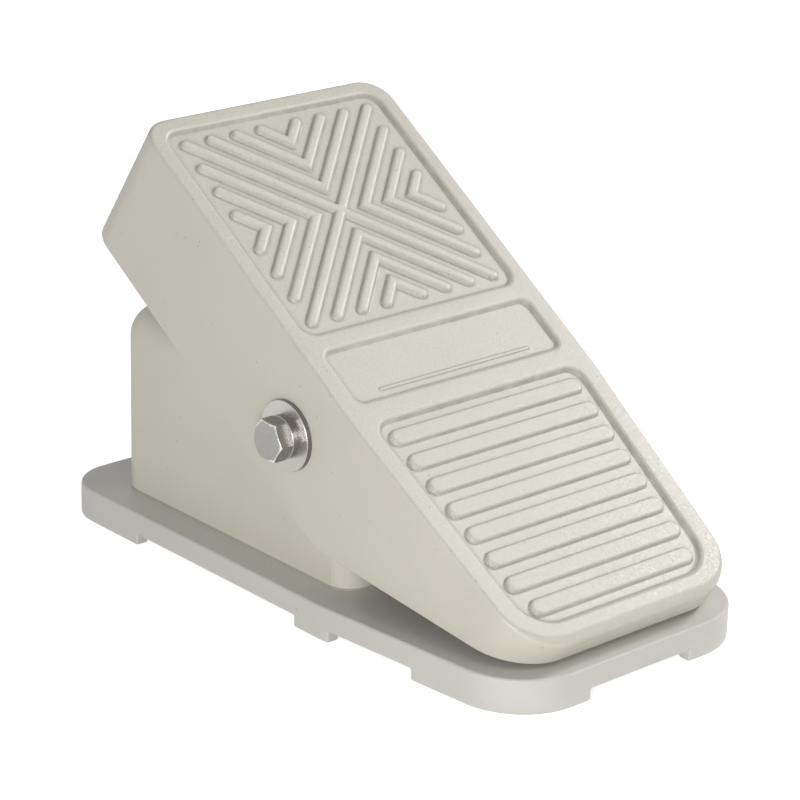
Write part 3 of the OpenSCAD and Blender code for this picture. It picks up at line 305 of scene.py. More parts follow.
# %% Moulded rubber, nylon, phenolic and pale plastic
MOULD_SPARK_MM = 0.8


def moulded(name, dark, light, roughness, skin_height_mm):
    """A moulded finish, a little dusty, with the spark pattern of the mould as its skin."""
    material, tree, place = new_material(name)
    skin = noise(tree, place, MOULD_SPARK_MM, 2)
    bump = add(tree, "ShaderNodeBump", {"Height": skin, "Strength": 1, "Distance": skin_height_mm * MM})
    colour = two_tone(tree, noise(tree, place, CLOUD_MM, 4), dark, light)
    close_material(tree, {"Base Color": colour, "Roughness": roughness, "Normal": bump, "IOR": COAT_IOR})
    return material


grey_gasket = moulded("pressed grey gasket sheet", "#a5a195", "#b0aca0", 0.8, 0.03)
black_rubber = moulded("moulded black rubber", "#1d1d1d", "#2d2c2b", 0.75, 0.03)
dark_nylon = moulded("moulded dark nylon", "#2a2d2f", "#363a3c", 0.5, 0.02)
brown_phenolic = moulded("moulded brown phenolic", "#4b2e1c", "#5d3b26", 0.4, 0.01)
pale_plastic = moulded("moulded pale plastic", "#d9d5c8", "#e4e0d5", 0.45, 0.01)
print("five moulded finishes")

# %% [markdown]
# ## A finish for every CAD node
# The record already says what each node is made of, by slot. Walking its list gives every node a
# finish, the hidden works too, and the pieces made below then stand for some of the nodes.

# %% Dress the CAD nodes
SLOT_FINISH = {
    "cast_paint": satin_paint,
    "stainless_steel": stainless,
    "bright_steel": bright_steel,
    "zinc_plated_steel": zinc_plate,
    "brass": plain_brass,
    "black_rubber": black_rubber,
    "grey_gasket": grey_gasket,
    "dark_nylon": dark_nylon,
    "brown_phenolic": brown_phenolic,
    "pale_plastic": pale_plastic,
}
slot_of = {part["node"]: part["material_slot"] for part in frame["record"]["subparts"]}
for name, node in frame["nodes"].items():
    node.data.materials.clear()
    node.data.materials.append(SLOT_FINISH[slot_of[name]])
print(f"finishes on {len(slot_of)} CAD nodes")

# %% [markdown]
# ## Outlines with round corners
# All three castings are, seen from above, a simple polygon with round corners. One function moves the
# sides of such a polygon inwards, and a second gives the round cornered outline at any depth. A wall,
# a fillet or a rim is then the same outline at several depths and heights, joined ring by ring, which
# keeps the mesh in clean quads and gives each edge exactly the softness that it needs.

# %% Outline and rings
ARC_STEPS = 12


def inset(corners, depth):
    """A convex outline with every side moved inwards."""
    moved = []
    for i, corner in enumerate(corners):
        back = (corners[i - 1] - corner).normalized()
        ahead = (corners[(i + 1) % len(corners)] - corner).normalized()
        moved.append(corner + (back + ahead).normalized() * depth / math.sin(back.angle(ahead) / 2))
    return moved


def outline(corners, radii, depth=0.0, between=0):
    """Points round an outline at some depth: an arc at each corner, and more on the sides."""
    corners = inset([Vector(c) for c in corners], depth) if depth else [Vector(c) for c in corners]
    points = []
    for i, corner in enumerate(corners):
        last, after, radius = corners[i - 1], corners[(i + 1) % len(corners)], radii[i] - depth
        back, ahead = (last - corner).normalized(), (after - corner).normalized()
        half = back.angle(ahead) / 2
        centre = corner + (back + ahead).normalized() * radius / math.sin(half)
        start = corner + back * radius / math.tan(half) - centre
        turn = math.copysign(math.pi - 2 * half, (corner - last).cross(after - corner))
        arc = [centre + Matrix.Rotation(turn * k / ARC_STEPS, 2) @ start for k in range(ARC_STEPS + 1)]
        if points:
            points += [points[-1].lerp(arc[0], k / (between + 1)) for k in range(1, between + 1)]
        points += arc
    points += [points[-1].lerp(points[0], k / (between + 1)) for k in range(1, between + 1)]
    return points


def join_rings(shape, rings):
    """Verts for each ring of points in millimetres, with faces between neighbouring rings."""
    made = [[shape.verts.new(Vector(p) * MM) for p in ring] for ring in rings]
    for low, high in zip(made, made[1:]):
        for i in range(len(low)):
            shape.faces.new((low[i - 1], low[i], high[i], high[i - 1]))
    return made


print("a square with round corners has", len(outline([(0, 0), (9, 0), (9, 9), (0, 9)], [2] * 4)), "points")

# %% [markdown]
# ## Base plate
# The base plate is a low tray, cast upside down, with a rim cut away between its feet. CAD has that
# shape already, with sharp edges. A copy of the node is merged, its flat faces are joined again, and
# its outer edges are bevelled, because a casting never leaves the mould with a sharp edge.

# %% Soft edges on a copy of a CAD node
FLAT_ANGLE = math.radians(0.6)
EDGE_ANGLE = math.radians(35)
MERGE_MM = 0.001
BEVEL_STEPS = 3


def merged(name):
    """A copy of a CAD node's mesh with its points merged."""
    shape = bmesh.new()
    shape.from_mesh(frame["nodes"][name].data)
    bmesh.ops.remove_doubles(shape, verts=shape.verts, dist=MERGE_MM * MM)
    return shape


def softened(name, width_mm, wanted=lambda place: True):
    """A copy of a CAD node whose wanted sharp edges are rounded."""
    shape = merged(name)
    bmesh.ops.dissolve_limit(shape, angle_limit=FLAT_ANGLE, verts=shape.verts, edges=shape.edges)
    edges = [
        edge
        for edge in shape.edges
        if len(edge.link_faces) == 2
        and edge.calc_face_angle() > EDGE_ANGLE
        and wanted((edge.verts[0].co + edge.verts[1].co) / 2 / MM)
    ]
    bmesh.ops.bevel(
        shape,
        geom=edges,
        offset=width_mm * MM,
        segments=BEVEL_STEPS,
        profile=0.5,
        affect="EDGES",
        clamp_overlap=True,
    )
    return shape


# %% Base plate with a soft rim
RIM_BAND_MM = 15
BASE_EDGE_MM = 0.9
base_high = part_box("base_plate")[1]
band_x, band_y = base_high.x / MM - RIM_BAND_MM, base_high.y / MM - RIM_BAND_MM


def on_base_rim(place):
    return abs(place.x) > band_x or abs(place.y) > band_y


base_shape = softened("base_plate", BASE_EDGE_MM, on_base_rim)
piece("cast_base_plate", base_shape, base_paint, "base", "cast_paint", "base_plate")

# %% [markdown]
# ## Housing
# The housing is a box that stands over the works, with its shaft holes and inner bosses cut in CAD.
# Only its outside has to be softer. A smooth envelope is built ring by ring, up the walls and over
# the round top edge, and the copy of the CAD node is trimmed by it, so that the inside stays as it
# is. The treadle swings close over the edge at the heel side, which is therefore rounder.

# %% Boolean on two closed shapes
def combined(first, second, operation):
    """The first shape cut, trimmed or joined by the second one."""
    pair = []
    for shape in (first, second):
        mesh = bpy.data.meshes.new("scratch")
        shape.to_mesh(mesh)
        shape.free()
        pair.append(bpy.data.objects.new("scratch", mesh))
        bpy.context.scene.collection.objects.link(pair[-1])
    modifier = pair[0].modifiers.new("combine", "BOOLEAN")
    modifier.solver = "EXACT"
    modifier.object = pair[1]
    modifier.operation = operation
    done = bpy.data.meshes.new_from_object(pair[0].evaluated_get(bpy.context.evaluated_depsgraph_get()))
    for used in pair:
        bpy.data.objects.remove(used)
    result = bmesh.new()
    result.from_mesh(done)
    bpy.data.meshes.remove(done)
    return result


# %% Housing in its envelope
HOUSING_R = 9
HOUSING_TOP_R = 12
HEEL_EDGE_R = 19.9
# The envelope stands this far off the flat walls, which CAD has already
SPARE = 0.03
TOP_STEPS = 10
TOP_DEPTHS = (14, 18, 22, 26, 31, 36)
SMALLEST_R = 0.1
WALL_POINTS = 16
box_low, box_high = (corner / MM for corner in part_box("housing"))


def envelope_ring(depth, radius, drop):
    """The outline at a depth and a drop under the top, held under the round edge at the heel side."""
    ring = []
    for point in outline(corners, [radius] * 4, depth - SPARE, WALL_POINTS):
        into = max(0.0, box_low.y + HEEL_EDGE_R - point.y)
        under = HEEL_EDGE_R - math.sqrt(max((HEEL_EDGE_R - drop) ** 2 - into**2, 0.0))
        ring.append(Vector((point.x, point.y, box_high.z + SPARE - max(drop, under))))
    return ring


corners = [
    (box_low.x, box_low.y),
    (box_high.x, box_low.y),
    (box_high.x, box_high.y),
    (box_low.x, box_high.y),
]
foot = outline(corners, [HOUSING_R] * 4, -SPARE, WALL_POINTS)
rings = [[Vector((p.x, p.y, box_low.z - SPARE)) for p in foot]]
for k in range(TOP_STEPS + 1):
    turn = math.radians(90 * k / TOP_STEPS)
    depth, drop = HOUSING_TOP_R * (1 - math.cos(turn)), HOUSING_TOP_R * (1 - math.sin(turn))
    rings.append(envelope_ring(depth, max(HOUSING_R, depth + SMALLEST_R), drop))
rings += [envelope_ring(depth, depth + SMALLEST_R, 0) for depth in TOP_DEPTHS]
envelope = bmesh.new()
made = join_rings(envelope, rings)
envelope.faces.new(made[0])
envelope.faces.new(made[-1])
bmesh.ops.recalc_face_normals(envelope, faces=envelope.faces)
shell = combined(merged("housing"), envelope, "INTERSECT")
piece("cast_housing", shell, satin_paint, "base", "cast_paint", "housing")

# %% [markdown]
# ## Treadle casting
# The treadle is an open box: a top, a toe wall, and side walls that rise towards the heel. It is
# drawn lying flat, with the toe edge at Y = 0 and the top at Z = 0, and turned into place by one
# matrix. The same outline gives every ring, from the soft top edge down the outer wall, under its
# foot and up inside. The foot of the walls follows one line seen from the side.

# %% Sizes of the treadle, in millimetres
TILT = 33.4
PIVOT_FROM_TOE = 114.3
PIVOT_UNDER_TOP = 27.7
WIDTH = 105.6
HEEL_WIDTH = 94.6
TAPER_START = 136
TOE_DEPTH = 50
HEEL_DEPTH = 10.8
RISE_START = 145.5
WALL = 4
TOP = 5
TOE_R = 11
HEEL_R = 19
FOOT_R = 5
SIDE_EDGE_R = 1.2
TOE_EDGE_R = 1.7
HEEL_EDGE_TOP_R = 3.2
pivot = Vector(next(j for j in frame["joints"] if j["name"] == "treadle_tilt")["pos_m"])
to_place = (
    Matrix.Translation(pivot)
    @ Matrix.Rotation(math.radians(TILT), 4, "X")
    @ Matrix.Translation(Vector((0, PIVOT_FROM_TOE, PIVOT_UNDER_TOP)) * MM)
)
from_place = to_place.inverted()
LENGTH = -min((from_place @ v.co).y for v in frame["nodes"]["treadle"].data.vertices) / MM
print(f"treadle {WIDTH} x {LENGTH:.1f} mm, tilted {TILT} degrees")


# %% Width along the treadle, and the foot of its walls
def half_width(along):
    """Half the treadle's width at a distance from the toe edge."""
    return (WIDTH - max(0.0, along - TAPER_START) * (WIDTH - HEEL_WIDTH) / (LENGTH - TAPER_START)) / 2


# As good as a sharp corner
SHARP_R = 0.01
side_view = outline(
    [(0, 0), (0, -TOE_DEPTH), (-RISE_START, -TOE_DEPTH), (-LENGTH, -HEEL_DEPTH), (-LENGTH, 0)],
    [SHARP_R, FOOT_R, FOOT_R, SHARP_R, SHARP_R],
)
foot_line = side_view[ARC_STEPS + 1 : 4 * (ARC_STEPS + 1)][::-1]


def foot_height(along):
    """Height of the walls' foot under a place along the treadle."""
    return float(np.interp(along, [p.x for p in foot_line], [p.y for p in foot_line]))


heel_foot, toe_foot = foot_height(-LENGTH), foot_height(-TOE_DEPTH)
print(f"foot of the wall: {heel_foot:.1f} mm at the heel, {toe_foot:.1f} mm near the toe")

# %% Rings of the treadle
# Round where the taper begins
FLANK_R = 60
SIDE_POINTS = 14
EDGE_STEPS = 7
# One ring of the outer wall lies this far under the top
WALL_RING = 7
FOOT_SHARES = (0.4, 0.6, 0.8)
# Small rounds: outside the foot, inside it, and under the top
FOOT_EDGE = 0.5
INNER_EDGE = 0.4
FILLET = 2
# The first and the last have one point between their ends, at this share of their size
ROUND_SHARE = 0.3
plan = [(-WIDTH / 2, 0), (WIDTH / 2, 0), (WIDTH / 2, -TAPER_START), (HEEL_WIDTH / 2, -LENGTH),
        (-HEEL_WIDTH / 2, -LENGTH), (-WIDTH / 2, -TAPER_START)]
plan_radii = [TOE_R, TOE_R, FLANK_R, HEEL_R, HEEL_R, FLANK_R]
rim = outline(plan, plan_radii, 0, SIDE_POINTS)
inward = [b - a for a, b in zip(rim, outline(plan, plan_radii, 1, SIDE_POINTS))]
toe_more, heel_more = TOE_EDGE_R - SIDE_EDGE_R, HEEL_EDGE_TOP_R - SIDE_EDGE_R
edge_r = [SIDE_EDGE_R + toe_more * min(n.y, 0) ** 2 + heel_more * max(n.y, 0) ** 2 for n in inward]


def top_edge(turn):
    """A ring of the round top edge, from the top over to the wall."""
    depths = [r * (1 - math.sin(turn)) for r in edge_r]
    drops = [r * (1 - math.cos(turn)) for r in edge_r]
    return [(p + n * d).to_3d() - Vector((0, 0, drop)) for p, n, d, drop in zip(rim, inward, depths, drops)]


def level_ring(depth, height):
    """The outline at a depth, all at one height."""
    return [(p + n * depth).to_3d() + Vector((0, 0, height)) for p, n in zip(rim, inward)]


def foot_ring(depth, lift):
    """The outline at a depth, lifted a little off the foot of the walls."""
    spots = [p + n * depth for p, n in zip(rim, inward)]
    return [spot.to_3d() + Vector((0, 0, foot_height(spot.y) + lift)) for spot in spots]


rings = [top_edge(math.radians(90 * k / EDGE_STEPS)) for k in range(EDGE_STEPS + 1)]
midway = ROUND_SHARE * FOOT_EDGE
rings += [level_ring(0, -WALL_RING), foot_ring(0, FOOT_EDGE), foot_ring(midway, midway)]
rings += [foot_ring(FOOT_EDGE, 0)] + [foot_ring(WALL * share, 0) for share in FOOT_SHARES]
rings += [foot_ring(WALL - INNER_EDGE, 0), foot_ring(WALL, INNER_EDGE), level_ring(WALL, -TOP - FILLET)]
midway = ROUND_SHARE * FILLET
rings += [level_ring(WALL + midway, -TOP - midway), level_ring(WALL + FILLET, -TOP)]
shape = bmesh.new()
made = join_rings(shape, rings)
shape.faces.new(made[-1])
print(f"treadle walls: {len(rings)} rings of {len(rim)} points")

# %% [markdown]
# ## Sunk panels
# Three shallow panels are sunk in the top: one for the crossed ribs, a plain one and one for the
# bars. Each rim is the panel's outline at a few depths, rounded where it meets the top, and a plain
# bottom a little under its later floor closes it. The flat border between the rims is filled in one
# go.

# %% Panel rims and the border between them
BORDER = 7.6
SINK = 1.5
CROSS_LENGTH = 88.5
PLAIN_LENGTH = 22.5
LAND = 8
PANEL_R = 6
PLAIN_R = 4
PANEL_HEEL_R = 13
PANEL_POINTS = 6
# Dirt with painted shade on the panels' walls that face the heel or the left, against that beside a rib
RIM_DIRT_AND_SHADE = 1.2
# A wall that slopes at 45 degrees counts in full
RIM_SHARE = 1.4
# The plain bottom of a panel lies this far under its floor
BOTTOM_DROP = 0.4
# Steps of a rim: how far inside the panel's outline, and how high
RIM_STEPS = (
    (-1.1, 0),
    (-0.65, -0.06),
    (-0.2, -0.22),
    (0.2, -0.52),
    (0.6, -0.95),
    (0.95, -1.33),
    (1.15, -SINK),
    (1.25, -SINK - BOTTOM_DROP),
)
# In the photo the floor about the crossed ribs reaches that much farther out than in CAD
CROSS_GROW = 1.5
cross_border = BORDER - CROSS_GROW
cross_half = WIDTH / 2 - BORDER
cross_long = CROSS_LENGTH + 2 * CROSS_GROW
plain_start = BORDER + CROSS_LENGTH + LAND
bar_start = plain_start + PLAIN_LENGTH + LAND
bar_end = LENGTH - BORDER


def panel(start, end, toe_r, heel_r, border=BORDER):
    """Corners and radii of a panel between two places along the treadle."""
    toe_half, heel_half = half_width(start) - border, half_width(end) - border
    corners = [(-toe_half, -start), (toe_half, -start), (heel_half, -end), (-heel_half, -end)]
    return corners, [toe_r, toe_r, heel_r, heel_r]


PANELS = {
    "cross": panel(cross_border, cross_border + cross_long, PANEL_R, PANEL_R, cross_border),
    "plain": panel(plain_start, plain_start + PLAIN_LENGTH, PLAIN_R, PLAIN_R),
    "bars": panel(bar_start, bar_end, PANEL_R, PANEL_HEEL_R),
}
loops = [made[0]]
for name, (panel_corners, panel_radii) in PANELS.items():
    rim_rings = []
    for depth, height in RIM_STEPS:
        ring = outline(panel_corners, panel_radii, depth, PANEL_POINTS)
        rim_rings.append([p.to_3d() + Vector((0, 0, height)) for p in ring])
    rim_verts = join_rings(shape, rim_rings)
    shape.faces.new(rim_verts[-1])
    loops.append(rim_verts[0])
    print(f"{name} panel: {len(rim_verts[0])} points round its rim")
edges = [shape.edges.get((loop[i - 1], loop[i])) for loop in loops for i in range(len(loop))]
bmesh.ops.triangle_fill(shape, use_beauty=True, use_dissolve=False, edges=edges, normal=(0, 0, 1))
bmesh.ops.recalc_face_normals(shape, faces=shape.faces)
shape.transform(to_place)
print(f"treadle before its holes: {len(shape.faces)} faces")

# %% [markdown]
# ## Holes and stops
# Each side wall has a hole for its bolt and one for the pin that keys the treadle to the shaft. Under
# the top stand four round stops, which meet the rubber buffers at the two ends of the travel. Each
# stop is upright when it meets its buffer, so the pair for the pressed end is drawn there and turned
# back to rest.

# %% Bolt holes, key holes and stops
PRESS = 25
BOLT_HOLE_R = 4.2
KEY_HOLE_R = 1.55
STOP_R = 7
STOP_GAP = 0.3
ROUND_STEPS = 48
BUFFERS = {"toe_buffers": PRESS, "heel_buffers": 0}


def cylinder(shape, radius, length, matrix):
    """Adds a closed cylinder along the matrix's Z."""
    bmesh.ops.create_cone(
        shape,
        cap_ends=True,
        segments=ROUND_STEPS,
        radius1=radius * MM,
        radius2=radius * MM,
        depth=length * MM,
        matrix=matrix,
    )


holes = bmesh.new()
key_low, key_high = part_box("treadle_keys")
for place, radius in ((pivot, BOLT_HOLE_R), ((key_low + key_high) / 2, KEY_HOLE_R)):
    across = Matrix.Translation(place) @ Matrix.Rotation(math.pi / 2, 4, "Y")
    cylinder(holes, radius, 2 * WIDTH, across)
shape = combined(shape, holes, "DIFFERENCE")
stops = bmesh.new()
for name, pressed in BUFFERS.items():
    low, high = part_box(name)
    turn = Matrix.Rotation(math.radians(pressed), 4, "X")
    back = Matrix.Translation(pivot) @ turn @ Matrix.Translation(-pivot)
    for side in (low.x + STOP_R * MM, high.x - STOP_R * MM):
        foot = Vector((side, (low.y + high.y) / 2, high.z + STOP_GAP * MM))
        upright = back @ Matrix.Translation(foot + Vector((0, 0, TOE_DEPTH / 2 * MM)))
        cylinder(stops, STOP_R, TOE_DEPTH, upright)
bmesh.ops.bisect_plane(
    stops,
    geom=stops.verts[:] + stops.edges[:] + stops.faces[:],
    plane_co=to_place @ Vector((0, 0, (SINK - TOP) / 2 * MM - SINK * MM)),
    plane_no=to_place.to_3x3() @ Vector((0, 0, 1)),
    clear_outer=True,
)
bmesh.ops.holes_fill(stops, edges=[e for e in stops.edges if e.is_boundary], sides=0)
bmesh.ops.recalc_face_normals(stops, faces=stops.faces)
shape = combined(shape, stops, "UNION")
treadle = piece("cast_treadle", shape, satin_paint, "treadle", "cast_paint", "treadle")

# %% Grain, and dirt with painted shade, on the treadle
# A point is on a panel's wall this far about the panels, and this far under the top
WALL_SPARE = 1
WALL_FROM = 0.3
upward = from_place.to_3x3()
grain_of(treadle.data, [min(max((upward @ v.normal).z, 0.0), 1.0) for v in treadle.data.vertices])
wall_dirt_and_shade = []
for vert in treadle.data.vertices:
    spot = from_place @ vert.co / MM
    in_width = abs(spot.x) < half_width(-spot.y) - cross_border + WALL_SPARE
    in_length = cross_border - WALL_SPARE < -spot.y < LENGTH - BORDER + WALL_SPARE
    in_depth = -SINK - WALL_SPARE < spot.z < -WALL_FROM
    # Walls that face the heel or the left get dirt with painted shade
    facing = upward @ vert.normal
    share = min(1.0, RIM_SHARE * max(0.0, -facing.x, -facing.y))
    wall_dirt_and_shade.append(RIM_DIRT_AND_SHADE * share if in_width and in_length and in_depth else 0.0)
treadle.data.attributes.new("crease_dirt_and_shade", "FLOAT", "POINT").data.foreach_set("value", wall_dirt_and_shade)
print("points on the panel walls:", sum(value > 0 for value in wall_dirt_and_shade))

# %% [markdown]
# ## Crossed ribs
# In the first panel two ribs cross corner to corner, and three nested V shaped ribs stand in each
# quarter, with their points to the middle. Folded along both middle lines, all of that is one family
# of parallel lines, so a Geometry Nodes tree can raise the ribs out of one grid: it measures how far
# a point lies from the nearest line and lifts it by a profile with a flat crown and round shoulders.
# The points of the V shapes come out mitred by themselves, as in the mould.

# %% Tree with a grid
SOCKETS = {float: "NodeSocketFloat", int: "NodeSocketInt", bpy.types.Material: "NodeSocketMaterial"}


def open_tree(name, values):
    """A new tree with an input for each value, the grid that it raises, and where a point lies on it."""
    tree = bpy.data.node_groups.new(name, "GeometryNodeTree")
    for label, value in values.items():
        kind = SOCKETS[type(value)]
        tree.interface.new_socket(name=label, in_out="INPUT", socket_type=kind).default_value = value
    tree.interface.new_socket(name="Geometry", in_out="OUTPUT", socket_type="NodeSocketGeometry")
    given = add(tree, "NodeGroupInput").outputs
    wide = calc(tree, "MULTIPLY", given["Half Width"], 2)
    long = calc(tree, "MULTIPLY", given["Half Length"], 2)
    grid = add(tree, "GeometryNodeMeshGrid", [wide, long, given["Columns"], given["Rows"]])
    flat = add(tree, "ShaderNodeSeparateXYZ", [add(tree, "GeometryNodeInputPosition")])
    across = calc(tree, "ABSOLUTE", flat.outputs["X"])
    along = calc(tree, "ABSOLUTE", flat.outputs["Y"])
    return tree, given, grid, flat, across, along


# %% Profile of the ribs, cove and dirt
# The floor runs up to the rim in a cove, between these distances inside the rim
COVE_START_MM = 1.3
COVE_END_MM = 0.3
COVE_HEIGHT_MM = 0.5
# Corners of the grid that lie this far outside the round rim are cut off
OUTSIDE_MM = 1
# Dirt with painted shade lies in the crease under a rim, this far out on the floor
RIM_CREASE_MM = 2.0
# Dirt with painted shade goes up a rib's flank by this share of the shoulder, and then fades that many times as
# fast
FLANK_SHARE = 0.2
FLANK_FADE = 3


def raise_and_close(tree, given, grid, flat, distance, rim_distance):
    """Lifts the grid by the ribs' profile, runs it up to the rim in a cove, and ends the tree."""
    half = calc(tree, "DIVIDE", given["Rib Width"], 2)
    crown = calc(tree, "SUBTRACT", half, given["Shoulder"])
    down = span(tree, distance, crown, half)
    square = calc(tree, "POWER", down, 2)
    left_over = calc(tree, "SUBTRACT", 1, square)
    arc = calc(tree, "POWER", left_over, given["Foot"])
    rib = calc(tree, "MULTIPLY", arc, given["Rib Height"])
    near = span(tree, rim_distance, -COVE_START_MM * MM, -COVE_END_MM * MM)
    curve = calc(tree, "POWER", near, 2)
    cove = calc(tree, "MULTIPLY", curve, COVE_HEIGHT_MM * MM)
    raised = calc(tree, "ADD", rib, cove)
    height = calc(tree, "SUBTRACT", raised, given["Sink"])
    place = add(tree, "ShaderNodeCombineXYZ", [flat.outputs["X"], flat.outputs["Y"], height])
    lifted = add(tree, "GeometryNodeSetPosition", {"Geometry": grid, "Position": place})
    outside = calc(tree, "GREATER_THAN", rim_distance, OUTSIDE_MM * MM)
    kept = add(tree, "GeometryNodeDeleteGeometry", {"Geometry": lifted, "Selection": outside})
    # Dirt with painted shade at the foot of a rib and under the rim, stored on the mesh
    beside_foot = calc(tree, "SUBTRACT", distance, half)
    side = calc(tree, "MULTIPLY_ADD", given["Shoulder"], FLANK_SHARE, beside_foot)
    up_the_side = calc(tree, "MULTIPLY", side, -FLANK_FADE)
    from_foot = calc(tree, "MAXIMUM", beside_foot, up_the_side)
    foot_dirt_and_shade = span(tree, from_foot, given["Crease"], 0)
    rim_dirt_and_shade = span(tree, rim_distance, -RIM_CREASE_MM * MM, 0, 0, RIM_DIRT_AND_SHADE)
    dirt_and_shade = calc(tree, "MAXIMUM", foot_dirt_and_shade, rim_dirt_and_shade)
    # Paler crowns: wear together with a painted highlight
    crown_wear_and_highlight = calc(tree, "MULTIPLY", arc, given["Wear And Highlight"])
    left = calc(tree, "SUBTRACT", dirt_and_shade, crown_wear_and_highlight)
    stored = {"Geometry": kept, "Name": "crease_dirt_and_shade", "Value": left}
    with_dirt_and_shade = add(tree, "GeometryNodeStoreNamedAttribute", stored)
    whole = add(tree, "GeometryNodeRealizeInstances", {"Geometry": with_dirt_and_shade})
    painted = add(tree, "GeometryNodeSetMaterial", {"Geometry": whole, "Material": given["Finish"]})
    add(tree, "NodeGroupOutput", {"Geometry": painted})


def rim_field(tree, across, along, half_w, half_l, radius):
    """Distance from the rim of a round cornered panel, less than zero inside it."""
    flat_w = calc(tree, "SUBTRACT", half_w, radius)
    flat_l = calc(tree, "SUBTRACT", half_l, radius)
    over_w = calc(tree, "SUBTRACT", across, flat_w)
    over_l = calc(tree, "SUBTRACT", along, flat_l)
    over = add(tree, "ShaderNodeCombineXYZ", [over_w, over_l, 0])
    outer = add(tree, "ShaderNodeVectorMath", [over, (0, 0, 0)], operation="MAXIMUM")
    reach = add(tree, "ShaderNodeVectorMath", [outer], operation="LENGTH")
    larger = calc(tree, "MAXIMUM", over_w, over_l)
    inner = calc(tree, "MINIMUM", larger, 0)
    total = calc(tree, "ADD", reach, inner)
    return calc(tree, "SUBTRACT", total, radius)


# %% Use a tree, and lay the result in the treadle
def grow(name, tree, values, middle_along):
    """Runs a tree with these inputs, makes its result a plain mesh and lays it in the treadle's top."""
    seed = bpy.data.objects.new(name + " seed", bpy.data.meshes.new(name + " seed"))
    bpy.context.scene.collection.objects.link(seed)
    modifier = seed.modifiers.new("tread", "NODES")
    modifier.node_group = tree
    for item in tree.interface.items_tree:
        if item.in_out == "INPUT":
            modifier[item.identifier] = values[item.name]
    grown = seed.evaluated_get(bpy.context.evaluated_depsgraph_get())
    mesh = bpy.data.meshes.new_from_object(grown)
    bpy.data.objects.remove(seed)
    mesh.transform(to_place @ Matrix.Translation((0, -middle_along * MM, 0)))
    grain_of(mesh, [1.0] * len(mesh.vertices))
    return piece(name, mesh, values["Finish"], "treadle", "cast_paint")


# %% Sizes of the crossed ribs, in millimetres
GRID_MM = 0.36
RIB_WIDTH = 4.3
RIB_HEIGHT = 1.4
RIB_PITCH = 10.7
RIBS_BESIDE = 3
END_GAP = 3
RIB_SHOULDER = 1.4
# 0.5 gives a shoulder that ends upright, and more than 1 one that runs out in a cove
RIB_FOOT = 0.6
# Dirt with painted shade lies this far about the foot of a rib
RIB_CREASE = 1.2
# The crowns of these ribs are drawn paler, as paint rubbed by the ball of the foot together with a painted
# highlight: that much dirt less than on clean paint
RIB_WEAR_AND_HIGHLIGHT = 0.4
cross_values = {
    "Half Width": (cross_half + CROSS_GROW) * MM,
    "Half Length": cross_long / 2 * MM,
    "Corner Radius": PANEL_R * MM,
    "Columns": int(2 * (cross_half + CROSS_GROW) / GRID_MM),
    "Rows": int(cross_long / GRID_MM),
    "Pitch": RIB_PITCH * MM,
    "Ribs Beside": RIBS_BESIDE,
    "Reach": (min(cross_half, CROSS_LENGTH / 2) - END_GAP) * MM,
    "Rib Width": RIB_WIDTH * MM,
    "Rib Height": RIB_HEIGHT * MM,
    "Shoulder": RIB_SHOULDER * MM,
    "Foot": RIB_FOOT,
    "Crease": RIB_CREASE * MM,
    "Wear And Highlight": RIB_WEAR_AND_HIGHLIGHT,
    "Sink": SINK * MM,
    "Finish": satin_paint,
}
print("grid for the crossed ribs:", cross_values["Columns"], "by", cross_values["Rows"])

# %% Tree for the crossed ribs
ROOT_HALF = math.sqrt(0.5)


def crossed_tree(values):
    """The tree that raises the crossed ribs."""
    tree, given, grid, flat, across, along = open_tree("crossed ribs", values)
    apart = calc(tree, "SUBTRACT", across, along)
    beside = calc(tree, "ABSOLUTE", apart)
    steps = calc(tree, "DIVIDE", beside, given["Pitch"])
    number = calc(tree, "ROUND", steps)
    line = calc(tree, "MULTIPLY", number, given["Pitch"])
    off = calc(tree, "SUBTRACT", beside, line)
    off_line = calc(tree, "MULTIPLY", off, ROOT_HALF)
    # Along the rib: a rib ends where it comes near the rim, with a round end
    sum_of = calc(tree, "ADD", across, along)
    twice = calc(tree, "MULTIPLY", given["Reach"], 2)
    last = calc(tree, "SUBTRACT", twice, line)
    beyond = calc(tree, "SUBTRACT", sum_of, last)
    scaled = calc(tree, "MULTIPLY", beyond, ROOT_HALF)
    half_rib = calc(tree, "DIVIDE", given["Rib Width"], 2)
    ended = calc(tree, "ADD", scaled, half_rib)
    past_end = calc(tree, "MAXIMUM", ended, 0)
    # A line past the last rib counts as a metre off
    bare = calc(tree, "GREATER_THAN", number, given["Ribs Beside"])
    offset = add(tree, "ShaderNodeCombineXYZ", [off_line, past_end, bare])
    distance = add(tree, "ShaderNodeVectorMath", [offset], operation="LENGTH")
    half_w, half_l, radius = given["Half Width"], given["Half Length"], given["Corner Radius"]
    rim_distance = rim_field(tree, across, along, half_w, half_l, radius)
    raise_and_close(tree, given, grid, flat, distance.outputs["Value"], rim_distance)
    return tree


crossed_ribs = crossed_tree(cross_values)
print("crossed ribs:", len(crossed_ribs.nodes), "nodes")
grow("crossed_ribs", crossed_ribs, cross_values, BORDER + CROSS_LENGTH / 2)

# %% [markdown]
# ## Bars
# Eight straight bars lie across the heel half. They follow a rule too: one every pitch, each nearly as
# long as the panel is wide there, with round ends. A second tree measures the distance to the nearest
# bar and uses the same profile and the same cove.

